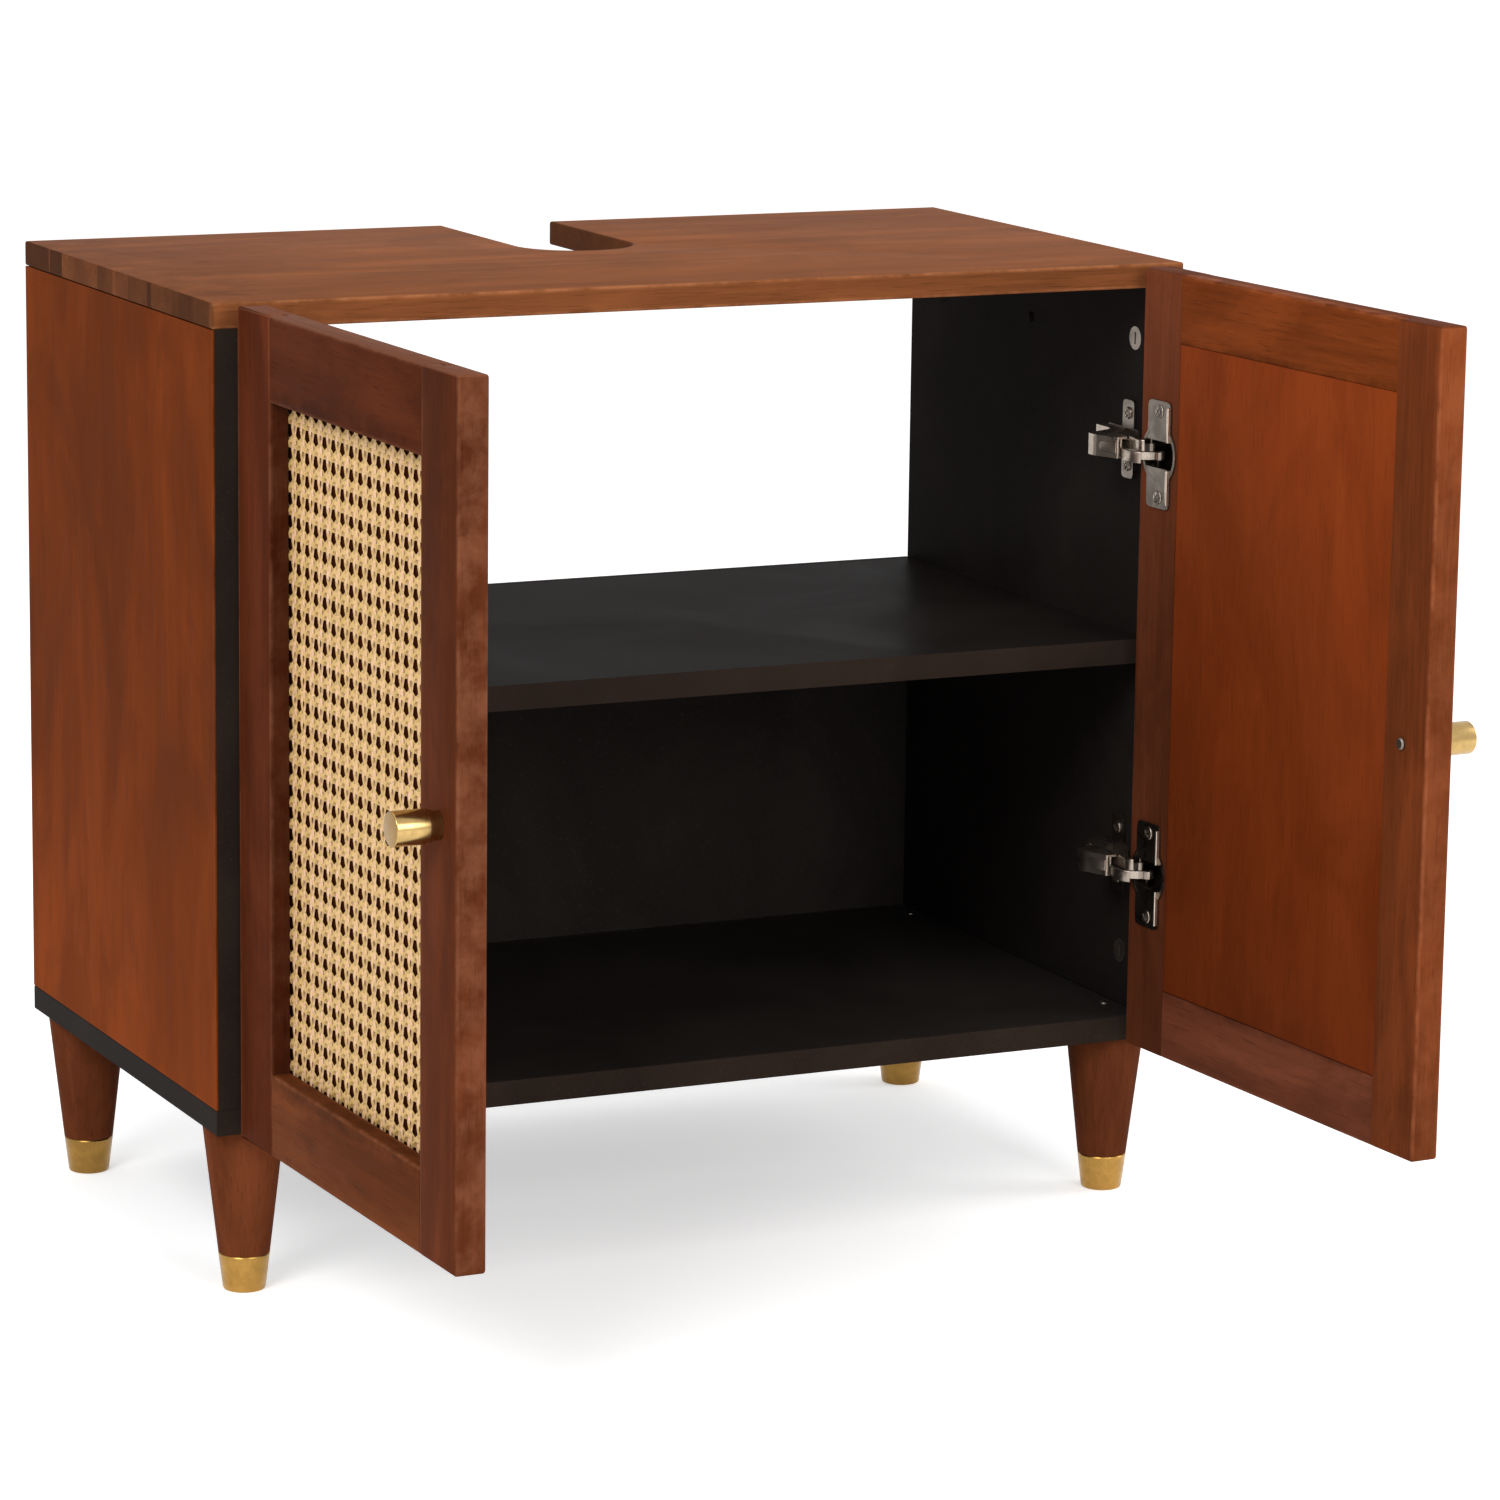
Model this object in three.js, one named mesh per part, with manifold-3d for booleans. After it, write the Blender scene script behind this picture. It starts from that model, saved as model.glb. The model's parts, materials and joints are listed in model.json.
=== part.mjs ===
// A small under-basin cabinet in stained wood with a black inside: a top board notched for the
// waste pipe, two framed cane doors on concealed cup hinges, and four tapered legs with brass
// ferrules. Millimetres, +Z up, the front toward -Y and the wall on the plane Y = 0.
// The origin is the middle of the bottom board's rear edge.
import * as THREE from 'three';
import { mergeVertices } from 'three/addons/utils/BufferGeometryUtils.js';
import Module from 'manifold-3d';

const wasm = await Module();
wasm.setup();

// Carcass
const cabinetWidth = 620;
const carcassDepth = 330;
const boardThickness = 15;
const topThickness = 15;
const sideHeight = 450;
const skinThickness = 1;
const boardArris = 0.6;
const topArris = 1.2;
const glueGap = 0.2;
const shelfTopHeight = 235;
const shelfFrontInset = 5;
const backThickness = 5;
const shelfRearGap = 0.5;
const dowelRadius = 4;
const dowelLength = 8;
const dowelInset = 50;

// Notch in the top board's back edge
const notchWidth = 74;
const notchDepth = 157;

// Legs
const legLength = 100;
const legTopRadius = 24;
const legFootRadius = 12.5;
const legInset = 26;
const ferruleHeight = 22;
const ferruleWall = 1;
const ferruleFootRound = 1;
const legStudRadius = 4;
const legStudLength = 10;
const studClearance = 0.25;

// Cam fittings that join the sides to the top and bottom boards
const camRadius = 7.5;
const camDepth = 10;
const camEdgeDistance = 34;
const camFrontInset = 30;
const camRearInset = 45;
const camSlotWidth = 1.6;
const camSlotDepth = 1.2;

// Doors
const doorGap = 2;
const doorThickness = 18;
const doorSideMargin = 1;
const doorMeetingGap = 2;
const doorEndMargin = 1;
const stileWidth = 48;
const railHeight = 48;
const rebateWidth = 7;
const rebateDepth = 7;
const doorArris = 1.6;
const doorJointGap = 0.3;
const caneThickness = 1.2;
const backingThickness = 4.8;
const caneColumns = 9;
const caneRows = 16;
const leftDoorAngle = 89;
const rightDoorAngle = 93;

// Knobs
const knobRadius = 9.5;
const knobNeckRadius = 8;
const knobLength = 27;
const knobFlare = 7;
const knobChamfer = 0.8;
const knobScrewRadius = 2;
const knobScrewReach = 12;
const knobScrewHeadRadius = 3.6;
const knobScrewHeadHeight = 1.8;
const screwClearance = 0.3;

// Hinge cups in the doors
const hingeEndDistance = 110;
const cupRadius = 17.5;
const cupDepth = 11.5;
const cupWall = 0.8;
const cupEdgeDistance = 22.5;
const cupFlangeLength = 65;
const cupFlangeWidth = 25;
const cupFlangeThickness = 1.1;
const cupFlangeRound = 4;
const cupScrewSpacing = 52;
const cupScrewHeadRadius = 4;
const cupScrewHeadHeight = 0.8;

// Hinge links. Pins and bends are [in from the side board, forward of the carcass front] with
// the door closed, and each link turns by its share of the door's angle, against the door.
const linkPinRadius = 1;
const linkPinClearance = 0.25;
const linkEyeWall = 0.8;
const linkThickness = 2.2;
const linkWidth = 4.4;
const linkSideGap = 0.4;
const linkSteps = 8;
const outerLinkArmPin = [30, -22];
const outerLinkHandles = [[0.1, -19.3], [8.6, 16]];
const outerLinkCupPin = [-4.7, 4];
const outerLinkShare = -0.335;
const innerLinkArmPin = [23.2, -3];
const innerLinkHandles = [[17, 5.9], [14.5, 15.4]];
const innerLinkCupPin = [-2.3, 7.7];
const innerLinkShare = -0.415;
const innerLinkSlack = 1.6;

// Hinge arms and mounting plates on the side panels
const armSheet = 1.2;
const armTop = 11;
const armRearInset = 56;
const armFlatLength = 20;
const armBendRadius = 5;
const armEyeWall = 3.6;
const armCheekWidth = 14;
const armScrewHeadRadius = 2.8;
const armScrewHeadHeight = 0.8;
const armScrewShares = [0.24, 0.8];
const plateThickness = 2;
const plateRearInset = 58;
const plateFrontInset = 18;
const plateSpineWidth = 14;
const plateWingInset = 32;
const plateWingWidth = 14;
const plateWingReach = 24;
const plateRound = 3;
const plateScrewSpacing = 32;
const plateScrewRadius = 1.8;
const plateScrewLength = 9;
const plateScrewHeadRadius = 3.6;
const plateScrewHeadHeight = 1.4;

// Facets of turned pieces, and the cane's hole as shares of its pitch
const legSides = 20;
const knobSides = 20;
const cupSides = 24;
const caneHoleShares = [0.62, 0.62];

// Finishes, one material for each mesh
const finishes = {
  topWood: [0x84502f, 0.5, 0],
  sideWood: [0x7a3f20, 0.5, 0],
  frameWood: [0x5a2d1c, 0.45, 0],
  panelWood: [0x7c3819, 0.5, 0],
  blackBoard: [0x1b1918, 0.6, 0],
  cane: [0xd8b478, 0.7, 0],
  brass: [0xa8803c, 0.3, 1],
  nickel: [0xb9b2a8, 0.3, 1],
};

// Levels that follow from the sizes
const bottomTop = boardThickness / 2;
const sideTop = bottomTop + sideHeight;
const cabinetTop = sideTop + topThickness;
const floorLevel = -boardThickness / 2 - legLength;
const innerHalf = cabinetWidth / 2 - boardThickness;
const innerWidth = 2 * innerHalf;
const shelfTop = bottomTop + shelfTopHeight;
const shelfMiddle = shelfTop - boardThickness / 2;

// Counts of facets
const arcSteps = 16;
const holeSides = 12;
const smallSides = 8;
const cornerSteps = 2;
const overrun = 2;

const cabinet = new THREE.Group();

function addMesh(parent, name, geometry, finish, place = new THREE.Vector3()) {
  const [color, roughness, metalness] = finishes[finish];
  const material = new THREE.MeshStandardMaterial({ color, roughness, metalness });
  const mesh = new THREE.Mesh(geometry, material);
  mesh.name = name;
  mesh.position.copy(place);
  parent.add(mesh);
  return mesh;
}

// Position-only copy of a geometry with shared corners merged and empty triangles left out
function weld(geometry) {
  const bare = new THREE.BufferGeometry();
  bare.setAttribute('position', geometry.getAttribute('position').clone());
  if (geometry.index) bare.setIndex(geometry.index.clone());
  const merged = mergeVertices(bare);
  const corners = merged.index.array;
  const kept = [];
  for (let i = 0; i < corners.length; i += 3) {
    const [a, b, c] = corners.slice(i, i + 3);
    if (a !== b && b !== c && c !== a) kept.push(a, b, c);
  }
  merged.setIndex(kept);
  return merged;
}

function toSolid(geometry) {
  const welded = weld(geometry);
  return new wasm.Manifold(new wasm.Mesh({
    numProp: 3,
    vertProperties: new Float32Array(welded.getAttribute('position').array),
    triVerts: new Uint32Array(welded.index.array),
  }));
}

function toGeometry(solid) {
  const mesh = solid.getMesh();
  const geometry = new THREE.BufferGeometry();
  geometry.setAttribute('position', new THREE.BufferAttribute(mesh.vertProperties, 3));
  geometry.setIndex(new THREE.BufferAttribute(mesh.triVerts, 1));
  geometry.computeVertexNormals();
  return geometry;
}

function join(base, ...others) {
  return toGeometry(others.reduce((solid, other) => solid.add(toSolid(other)), toSolid(base)));
}

function cut(base, ...tools) {
  return toGeometry(tools.reduce((solid, tool) => solid.subtract(toSolid(tool)), toSolid(base)));
}

// Closed outline with rounded corners, each given as [x, y, radius]
function softOutline(corners) {
  const shape = new THREE.Shape();
  const count = corners.length;
  corners.forEach(([x, y, radius], i) => {
    const corner = new THREE.Vector2(x, y);
    const before = new THREE.Vector2(...corners[(i + count - 1) % count].slice(0, 2));
    const after = new THREE.Vector2(...corners[(i + 1) % count].slice(0, 2));
    const start = before.sub(corner).setLength(radius).add(corner);
    const end = after.sub(corner).setLength(radius).add(corner);
    if (i === 0) shape.moveTo(start.x, start.y);
    else shape.lineTo(start.x, start.y);
    if (radius > 0) shape.quadraticCurveTo(x, y, end.x, end.y);
  });
  return shape;
}

// Extrusion of a shape with its ends' edges broken by the arris, all inside the given depth
function extrude(shape, depth, arris = 0, curveSegments = cornerSteps) {
  const geometry = new THREE.ExtrudeGeometry(shape, {
    depth: depth - 2 * arris,
    bevelEnabled: arris > 0,
    bevelSize: arris,
    bevelOffset: -arris,
    bevelThickness: arris,
    bevelSegments: 1,
    curveSegments,
  });
  return geometry.translate(0, 0, arris);
}

// Board centred on its place, with every edge broken by the arris
function board(sizeX, sizeY, sizeZ, arris = boardArris) {
  const x = sizeX / 2;
  const y = sizeY / 2;
  const outline = softOutline([[-x, -y, arris], [x, -y, arris], [x, y, arris], [-x, y, arris]]);
  return extrude(outline, sizeZ, arris, 1).translate(0, 0, -sizeZ / 2);
}

// Round bar centred on a point, along one of the three axes
function rod(axis, radius, length, x, y, z, sides = smallSides) {
  const geometry = new THREE.CylinderGeometry(radius, radius, length, sides);
  if (axis === 'x') geometry.rotateZ(Math.PI / 2);
  if (axis === 'z') geometry.rotateX(Math.PI / 2);
  return geometry.translate(x, y, z);
}

// Turned piece from a profile of [radius, height], standing on the +Z axis
function turn(profile, sides) {
  const points = profile.map(([radius, height]) => new THREE.Vector2(radius, height));
  return weld(new THREE.LatheGeometry(points, sides).rotateX(Math.PI / 2));
}

// Same, with its height running out of the front toward -Y
function turnForward(profile, sides) {
  return turn(profile, sides).rotateX(Math.PI / 2);
}

// Top board: a rectangle with a round-ended notch from its back edge
function topBoard() {
  const x = cabinetWidth / 2;
  const notchHalf = notchWidth / 2;
  const shape = new THREE.Shape();
  shape.moveTo(-x, -carcassDepth);
  shape.lineTo(x, -carcassDepth);
  shape.lineTo(x, 0);
  shape.lineTo(notchHalf, 0);
  shape.lineTo(notchHalf, notchHalf - notchDepth);
  shape.absarc(0, notchHalf - notchDepth, notchHalf, 0, -Math.PI, true);
  shape.lineTo(-notchHalf, 0);
  shape.lineTo(-x, 0);
  const geometry = extrude(shape, topThickness - glueGap, topArris, arcSteps);
  addMesh(cabinet, 'top_board', geometry, 'topWood', new THREE.Vector3(0, 0, sideTop + glueGap));
}

// Places along the depth that repeat on both sides
const camPlaces = { front: camFrontInset - carcassDepth, rear: -camRearInset };
const camLevels = { upper: sideTop - camEdgeDistance, lower: bottomTop + camEdgeDistance };
const hands = { left: 1, right: -1 };
const legPlaces = { front: legInset - carcassDepth, rear: -legInset };
const shelfDepth = carcassDepth - backThickness - shelfRearGap - shelfFrontInset;
const shelfCentre = -backThickness - shelfRearGap - shelfDepth / 2;
const dowelPlaces = [shelfCentre - shelfDepth / 2 + dowelInset, shelfCentre + shelfDepth / 2 - dowelInset];

// Side panel with pockets for the cam fittings, dowel holes and hinge screw holes
function sidePanel(side, hand) {
  const thickness = boardThickness - skinThickness - glueGap;
  const centre = -hand * (innerHalf + thickness / 2);
  const middle = bottomTop + sideHeight / 2;
  const blank = board(thickness, carcassDepth, sideHeight - 2 * glueGap);
  blank.translate(centre, -carcassDepth / 2, middle);
  const tools = [];
  for (const y of Object.values(camPlaces)) {
    for (const z of Object.values(camLevels)) {
      tools.push(rod('x', camRadius, 2 * camDepth, -hand * innerHalf, y, z, arcSteps));
    }
  }
  for (const y of dowelPlaces) {
    const depth = dowelLength + studClearance;
    tools.push(rod('x', dowelRadius + studClearance, 2 * depth, -hand * innerHalf, y, shelfMiddle));
  }
  for (const level of Object.values(hingeLevels)) {
    for (const offset of plateScrewOffsets) {
      const y = -carcassDepth + plateWingInset;
      const radius = plateScrewRadius + screwClearance;
      const reach = 2 * (plateScrewLength + screwClearance);
      tools.push(rod('x', radius, reach, -hand * innerHalf, y, level + offset));
    }
  }
  addMesh(cabinet, `${side}_side_panel`, cut(blank, ...tools), 'blackBoard');
  const skin = board(skinThickness, carcassDepth, sideHeight - 2 * glueGap, 0);
  const skinCentre = -hand * (cabinetWidth / 2 - skinThickness / 2);
  const skinPlace = new THREE.Vector3(skinCentre, -carcassDepth / 2, middle);
  addMesh(cabinet, `${side}_side_skin`, skin, 'sideWood', skinPlace);
}

// Cam fitting: a disc sunk flush in the side panel, with a screwdriver slot
function camFittings(side, hand) {
  const radius = camRadius - studClearance;
  const depth = camDepth - studClearance;
  const x = -hand * (innerHalf + depth / 2);
  const slotX = -hand * (innerHalf + camSlotDepth / 2 - overrun / 2);
  for (const [depthName, y] of Object.entries(camPlaces)) {
    for (const [levelName, z] of Object.entries(camLevels)) {
      const slot = new THREE.BoxGeometry(camSlotDepth + overrun, camSlotWidth, camRadius);
      const disc = cut(rod('x', radius, depth, x, y, z, arcSteps), slot.translate(slotX, y, z));
      addMesh(cabinet, `${side}_${levelName}_${depthName}_cam`, disc, 'nickel');
    }
  }
}

function bottomBoard() {
  const blank = board(cabinetWidth, carcassDepth, boardThickness).translate(0, -carcassDepth / 2, 0);
  const tools = [];
  for (const hand of Object.values(hands)) {
    for (const y of Object.values(legPlaces)) {
      const x = hand * (legInset - cabinetWidth / 2);
      const reach = 2 * (legStudLength + studClearance);
      tools.push(rod('z', legStudRadius + studClearance, reach, x, y, -boardThickness / 2, legSides));
    }
  }
  addMesh(cabinet, 'bottom_board', cut(blank, ...tools), 'blackBoard');
}

// Shelf with two dowels in each end, and the back panel behind the lower compartment
function shelfAndBack() {
  const width = innerWidth - 2 * glueGap;
  const plank = board(width, shelfDepth, boardThickness).translate(0, shelfCentre, shelfMiddle);
  const reach = innerWidth + 2 * dowelLength;
  const dowels = dowelPlaces.map((y) => rod('x', dowelRadius, reach, 0, y, shelfMiddle));
  addMesh(cabinet, 'shelf', join(plank, ...dowels), 'blackBoard');
  const backHeight = shelfTop - bottomTop - glueGap;
  const place = new THREE.Vector3(0, -backThickness / 2, bottomTop + glueGap + backHeight / 2);
  addMesh(cabinet, 'back_panel', board(width, backThickness, backHeight), 'blackBoard', place);
}

// Legs taper evenly from the top to the floor; the ferrule takes over the last part of the taper
const legTaper = (legTopRadius - legFootRadius) / legLength;
const ferruleTopRadius = legFootRadius + legTaper * ferruleHeight;

function leg(name, x, y) {
  const top = legLength - glueGap;
  const sleeve = ferruleWall + glueGap;
  const shoulder = ferruleHeight + glueGap;
  const wood = turn([
    [0, sleeve],
    [legFootRadius - sleeve, sleeve],
    [ferruleTopRadius - sleeve, shoulder],
    [ferruleTopRadius, shoulder],
    [legTopRadius, top],
    [legStudRadius, top],
    [legStudRadius, top + legStudLength],
    [0, top + legStudLength],
  ], legSides);
  const place = new THREE.Vector3(x, y, floorLevel);
  addMesh(cabinet, `${name}_leg`, wood, 'frameWood', place);
  const footEdge = legFootRadius + legTaper * ferruleFootRound;
  const cap = turn([
    [0, 0],
    [legFootRadius - ferruleFootRound, 0],
    [footEdge, ferruleFootRound],
    [ferruleTopRadius, ferruleHeight],
    [ferruleTopRadius - ferruleWall, ferruleHeight],
    [legFootRadius - ferruleWall, ferruleWall],
    [0, ferruleWall],
  ], legSides);
  addMesh(cabinet, `${name}_ferrule`, cap, 'brass', place);
}

// Doors, drawn closed. In plan a door piece is placed by u, the distance in from the side board's
// inner face, and v, the distance forward of the carcass front; the hand mirrors u for the right.
const doorWidth = (cabinetWidth - 2 * doorSideMargin - doorMeetingGap) / 2;
const doorBottom = -boardThickness / 2 + doorEndMargin;
const doorTop = cabinetTop - doorEndMargin;
const doorHeight = doorTop - doorBottom;
const doorMiddle = (doorTop + doorBottom) / 2;
const doorEdge = doorSideMargin - boardThickness;
const doorCentre = doorEdge + doorWidth / 2;
const outerFace = doorGap + doorThickness;
const rebateFloor = doorGap + rebateDepth;
const openingWidth = doorWidth - 2 * stileWidth;
const openingHeight = doorHeight - 2 * railHeight;
const panelWidth = openingWidth + 2 * rebateWidth - 2 * doorJointGap;
const panelHeight = openingHeight + 2 * rebateWidth - 2 * doorJointGap;
const hingeLevels = { lower: doorBottom + hingeEndDistance, upper: doorTop - hingeEndDistance };
const cupCentre = doorEdge + cupEdgeDistance;
const knobCentre = doorEdge + doorWidth - stileWidth / 2;

function planX(hand, u) {
  return hand * (u - innerHalf);
}

function planY(v) {
  return -carcassDepth - v;
}

function planPoint(hand, u, v) {
  return new THREE.Vector2(planX(hand, u), planY(v));
}

// Stile: an L section with the cane's rebate at the back of its inner edge
function stile(hand, fromHinge) {
  const corners = [
    [0, doorGap, doorArris],
    [stileWidth - rebateWidth, doorGap, 0],
    [stileWidth - rebateWidth, rebateFloor, 0],
    [stileWidth, rebateFloor, 0],
    [stileWidth, outerFace, doorArris / 2],
    [0, outerFace, doorArris],
  ];
  const outline = softOutline(corners.map(([across, v, radius]) => {
    const u = fromHinge ? doorEdge + across : doorEdge + doorWidth - across;
    return [planX(hand, u), planY(v), radius];
  }));
  return extrude(outline, doorHeight, doorArris / 2).translate(0, 0, doorBottom);
}

// Rail: the same L section along X, its back half lapped into the stiles' rebates
function rail(hand, outerLevel, inward) {
  const innerLevel = outerLevel + inward * railHeight;
  const rebateLevel = innerLevel - inward * rebateWidth;
  const front = softOutline([
    [planY(doorGap), outerLevel, doorArris],
    [planY(doorGap), rebateLevel, 0],
    [planY(rebateFloor), rebateLevel, 0],
    [planY(rebateFloor), innerLevel, 0],
    [planY(outerFace), innerLevel, doorArris / 2],
    [planY(outerFace), outerLevel, doorArris],
  ]);
  const lap = softOutline([
    [planY(doorGap), outerLevel, doorArris],
    [planY(doorGap), rebateLevel, 0],
    [planY(rebateFloor - doorJointGap), rebateLevel, 0],
    [planY(rebateFloor - doorJointGap), outerLevel, 0],
  ]);
  const alongX = new THREE.Matrix4().makeBasis(
    new THREE.Vector3(0, 1, 0),
    new THREE.Vector3(0, 0, 1),
    new THREE.Vector3(1, 0, 0),
  );
  const bars = [[front, openingWidth - 2 * doorJointGap], [lap, panelWidth]].map(([shape, length]) => {
    const geometry = extrude(shape, length).translate(0, 0, -length / 2).applyMatrix4(alongX);
    return geometry.translate(planX(hand, doorCentre), 0, 0);
  });
  return join(...bars);
}

// Cane webbing as a flat net: a grid of four-cornered holes across the frame's opening
function caneNet(hand) {
  const sheet = new THREE.Shape();
  const [x, z] = [panelWidth / 2, panelHeight / 2];
  sheet.setFromPoints([[-x, -z], [x, -z], [x, z], [-x, z]].map((corner) => new THREE.Vector2(...corner)));
  const pitchX = openingWidth / caneColumns;
  const pitchZ = openingHeight / caneRows;
  for (let column = 0; column < caneColumns; column += 1) {
    for (let row = 0; row < caneRows; row += 1) {
      const centreX = (column + 0.5) * pitchX - openingWidth / 2;
      const centreZ = (row + 0.5) * pitchZ - openingHeight / 2;
      const reach = [caneHoleShares[0] * pitchX / 2, caneHoleShares[1] * pitchZ / 2];
      const hole = [[-1, 0], [0, 1], [1, 0], [0, -1]].map(([alongX, alongZ]) => (
        new THREE.Vector2(centreX + alongX * reach[0], centreZ + alongZ * reach[1])
      ));
      sheet.holes.push(new THREE.Path().setFromPoints(hole));
    }
  }
  const geometry = extrude(sheet, caneThickness, 0, 1).rotateX(Math.PI / 2);
  const back = rebateFloor - doorJointGap - caneThickness;
  return geometry.translate(planX(hand, doorCentre), planY(back), doorMiddle);
}

function backingPanel(hand) {
  const front = rebateFloor - 2 * doorJointGap - caneThickness;
  const middle = planY(front - backingThickness / 2);
  const panel = board(panelWidth, backingThickness, panelHeight);
  return panel.translate(planX(hand, doorCentre), middle, doorMiddle);
}

// Knob: a turned cylinder that flares a little from its neck, drilled for its screw
function knob(hand) {
  const bore = knobScrewRadius + screwClearance;
  const boreDepth = knobScrewReach + screwClearance;
  const profile = [
    [0, boreDepth],
    [bore, boreDepth],
    [bore, 0],
    [knobNeckRadius, 0],
    [knobNeckRadius, knobFlare / 3],
    [(knobNeckRadius + knobRadius) / 2, 2 * knobFlare / 3],
    [knobRadius, knobFlare],
    [knobRadius, knobLength - knobChamfer],
    [knobRadius - knobChamfer, knobLength],
    [0, knobLength],
  ];
  const geometry = turnForward(profile, knobSides);
  return geometry.translate(planX(hand, knobCentre), planY(outerFace + doorJointGap), doorMiddle);
}

// Knob screw: a pan head on the inner face and a shank through the stile into the knob
function knobScrew(hand) {
  const shankEnd = doorThickness + doorJointGap + knobScrewReach;
  const profile = [
    [0, -doorJointGap - knobScrewHeadHeight],
    [knobScrewHeadRadius - knobScrewHeadHeight / 2, -doorJointGap - knobScrewHeadHeight],
    [knobScrewHeadRadius, -doorJointGap - knobScrewHeadHeight / 2],
    [knobScrewHeadRadius, -doorJointGap],
    [knobScrewRadius, -doorJointGap],
    [knobScrewRadius, shankEnd],
    [0, shankEnd],
  ];
  return turnForward(profile, holeSides).translate(planX(hand, knobCentre), planY(doorGap), doorMiddle);
}

// Concealed hinge, in the same u and v. Every part of it is drawn with the door closed.
const cupBodyRadius = cupRadius - doorJointGap;
const cupBoreRadius = cupBodyRadius - cupWall;
const linkLayer = linkSideGap + linkWidth;
const armInnerHalf = linkLayer + linkSideGap;
const armOuterHalf = armInnerHalf + armSheet;
const plateTop = glueGap + plateThickness;
const armFoot = plateTop + glueGap;
const plateScrewOffsets = [-plateScrewSpacing / 2, plateScrewSpacing / 2];

// Height range of a link's own half of the hinge: the outer link above, the inner one below
function layer(side) {
  return side > 0 ? [linkSideGap / 2, linkLayer] : [-linkLayer, -linkSideGap / 2];
}

function planPlate(hand, corners, low, high, steps = cornerSteps) {
  const outline = softOutline(corners.map(([u, v, radius]) => [planX(hand, u), planY(v), radius]));
  return extrude(outline, high - low, 0, steps).translate(0, 0, low);
}

function uprightRod(hand, [u, v], radius, low, high, sides = holeSides) {
  return rod('z', radius, high - low, planX(hand, u), planY(v), (low + high) / 2, sides);
}

// Cup: a turned shell sunk in the stile, its flange and screws, and the two pins of the links
function cup(hand, level) {
  const lip = -doorJointGap - cupFlangeThickness;
  const shell = turnForward([
    [0, cupDepth - cupWall],
    [cupBoreRadius, cupDepth - cupWall],
    [cupBoreRadius, lip],
    [cupRadius + cupWall, lip],
    [cupRadius + cupWall, -doorJointGap],
    [cupBodyRadius, -doorJointGap],
    [cupBodyRadius, cupDepth],
    [0, cupDepth],
  ], cupSides);
  const [halfWidth, halfLength] = [cupFlangeWidth / 2, cupFlangeLength / 2];
  const plate = extrude(softOutline([
    [-halfWidth, -halfLength, cupFlangeRound],
    [halfWidth, -halfLength, cupFlangeRound],
    [halfWidth, halfLength, cupFlangeRound],
    [-halfWidth, halfLength, cupFlangeRound],
  ]), cupFlangeThickness).rotateX(Math.PI / 2).translate(0, -lip, 0);
  const heads = [-1, 1].map((end) => {
    const y = -lip + cupScrewHeadHeight / 2 - cupFlangeThickness / 4;
    const length = cupScrewHeadHeight + cupFlangeThickness / 2;
    return rod('y', cupScrewHeadRadius, length, 0, y, end * cupScrewSpacing / 2, holeSides);
  });
  const mouth = rod('y', cupBoreRadius, 2 * (cupDepth - cupWall), 0, 0, 0, cupSides);
  const body = cut(join(plate, ...heads), mouth);
  const place = (geometry) => geometry.translate(planX(hand, cupCentre), planY(doorGap), level);
  const pins = [[outerLinkCupPin, 1], [innerLinkCupPin, -1]].map(([pin, side]) => {
    const offset = Math.abs(pin[0] - cupCentre) + linkPinRadius;
    const reach = Math.sqrt(cupBodyRadius ** 2 - offset ** 2);
    const [low, high] = side > 0 ? [linkSideGap / 2, reach] : [-reach, -linkSideGap / 2];
    return uprightRod(hand, pin, linkPinRadius, level + low, level + high);
  });
  return join(place(shell), place(body), ...pins);
}

// Link: a strap bent along a cubic curve, with an eye at each end
function link(hand, level, side, start, handles, end, endHoleRadius) {
  const [low, high] = layer(side).map((height) => level + height);
  const points = [start, ...handles, end].map(([u, v]) => planPoint(hand, u, v));
  const curve = new THREE.CubicBezierCurve(...points);
  const left = [];
  const right = [];
  for (let i = 0; i <= linkSteps; i += 1) {
    const middle = curve.getPoint(i / linkSteps);
    const across = curve.getTangent(i / linkSteps).rotateAround(new THREE.Vector2(), Math.PI / 2);
    left.push(middle.clone().addScaledVector(across, linkThickness / 2));
    right.unshift(middle.clone().addScaledVector(across, -linkThickness / 2));
  }
  const strap = extrude(new THREE.Shape([...left, ...right]), high - low).translate(0, 0, low);
  const hole = linkPinRadius + linkPinClearance;
  const eyes = [[start, hole], [end, endHoleRadius]];
  const collars = eyes.map(([pin, radius]) => uprightRod(hand, pin, radius + linkEyeWall, low, high));
  const holes = eyes.map(([pin, radius]) => uprightRod(hand, pin, radius, low - overrun, high + overrun));
  return cut(join(strap, ...collars), ...holes);
}

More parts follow.
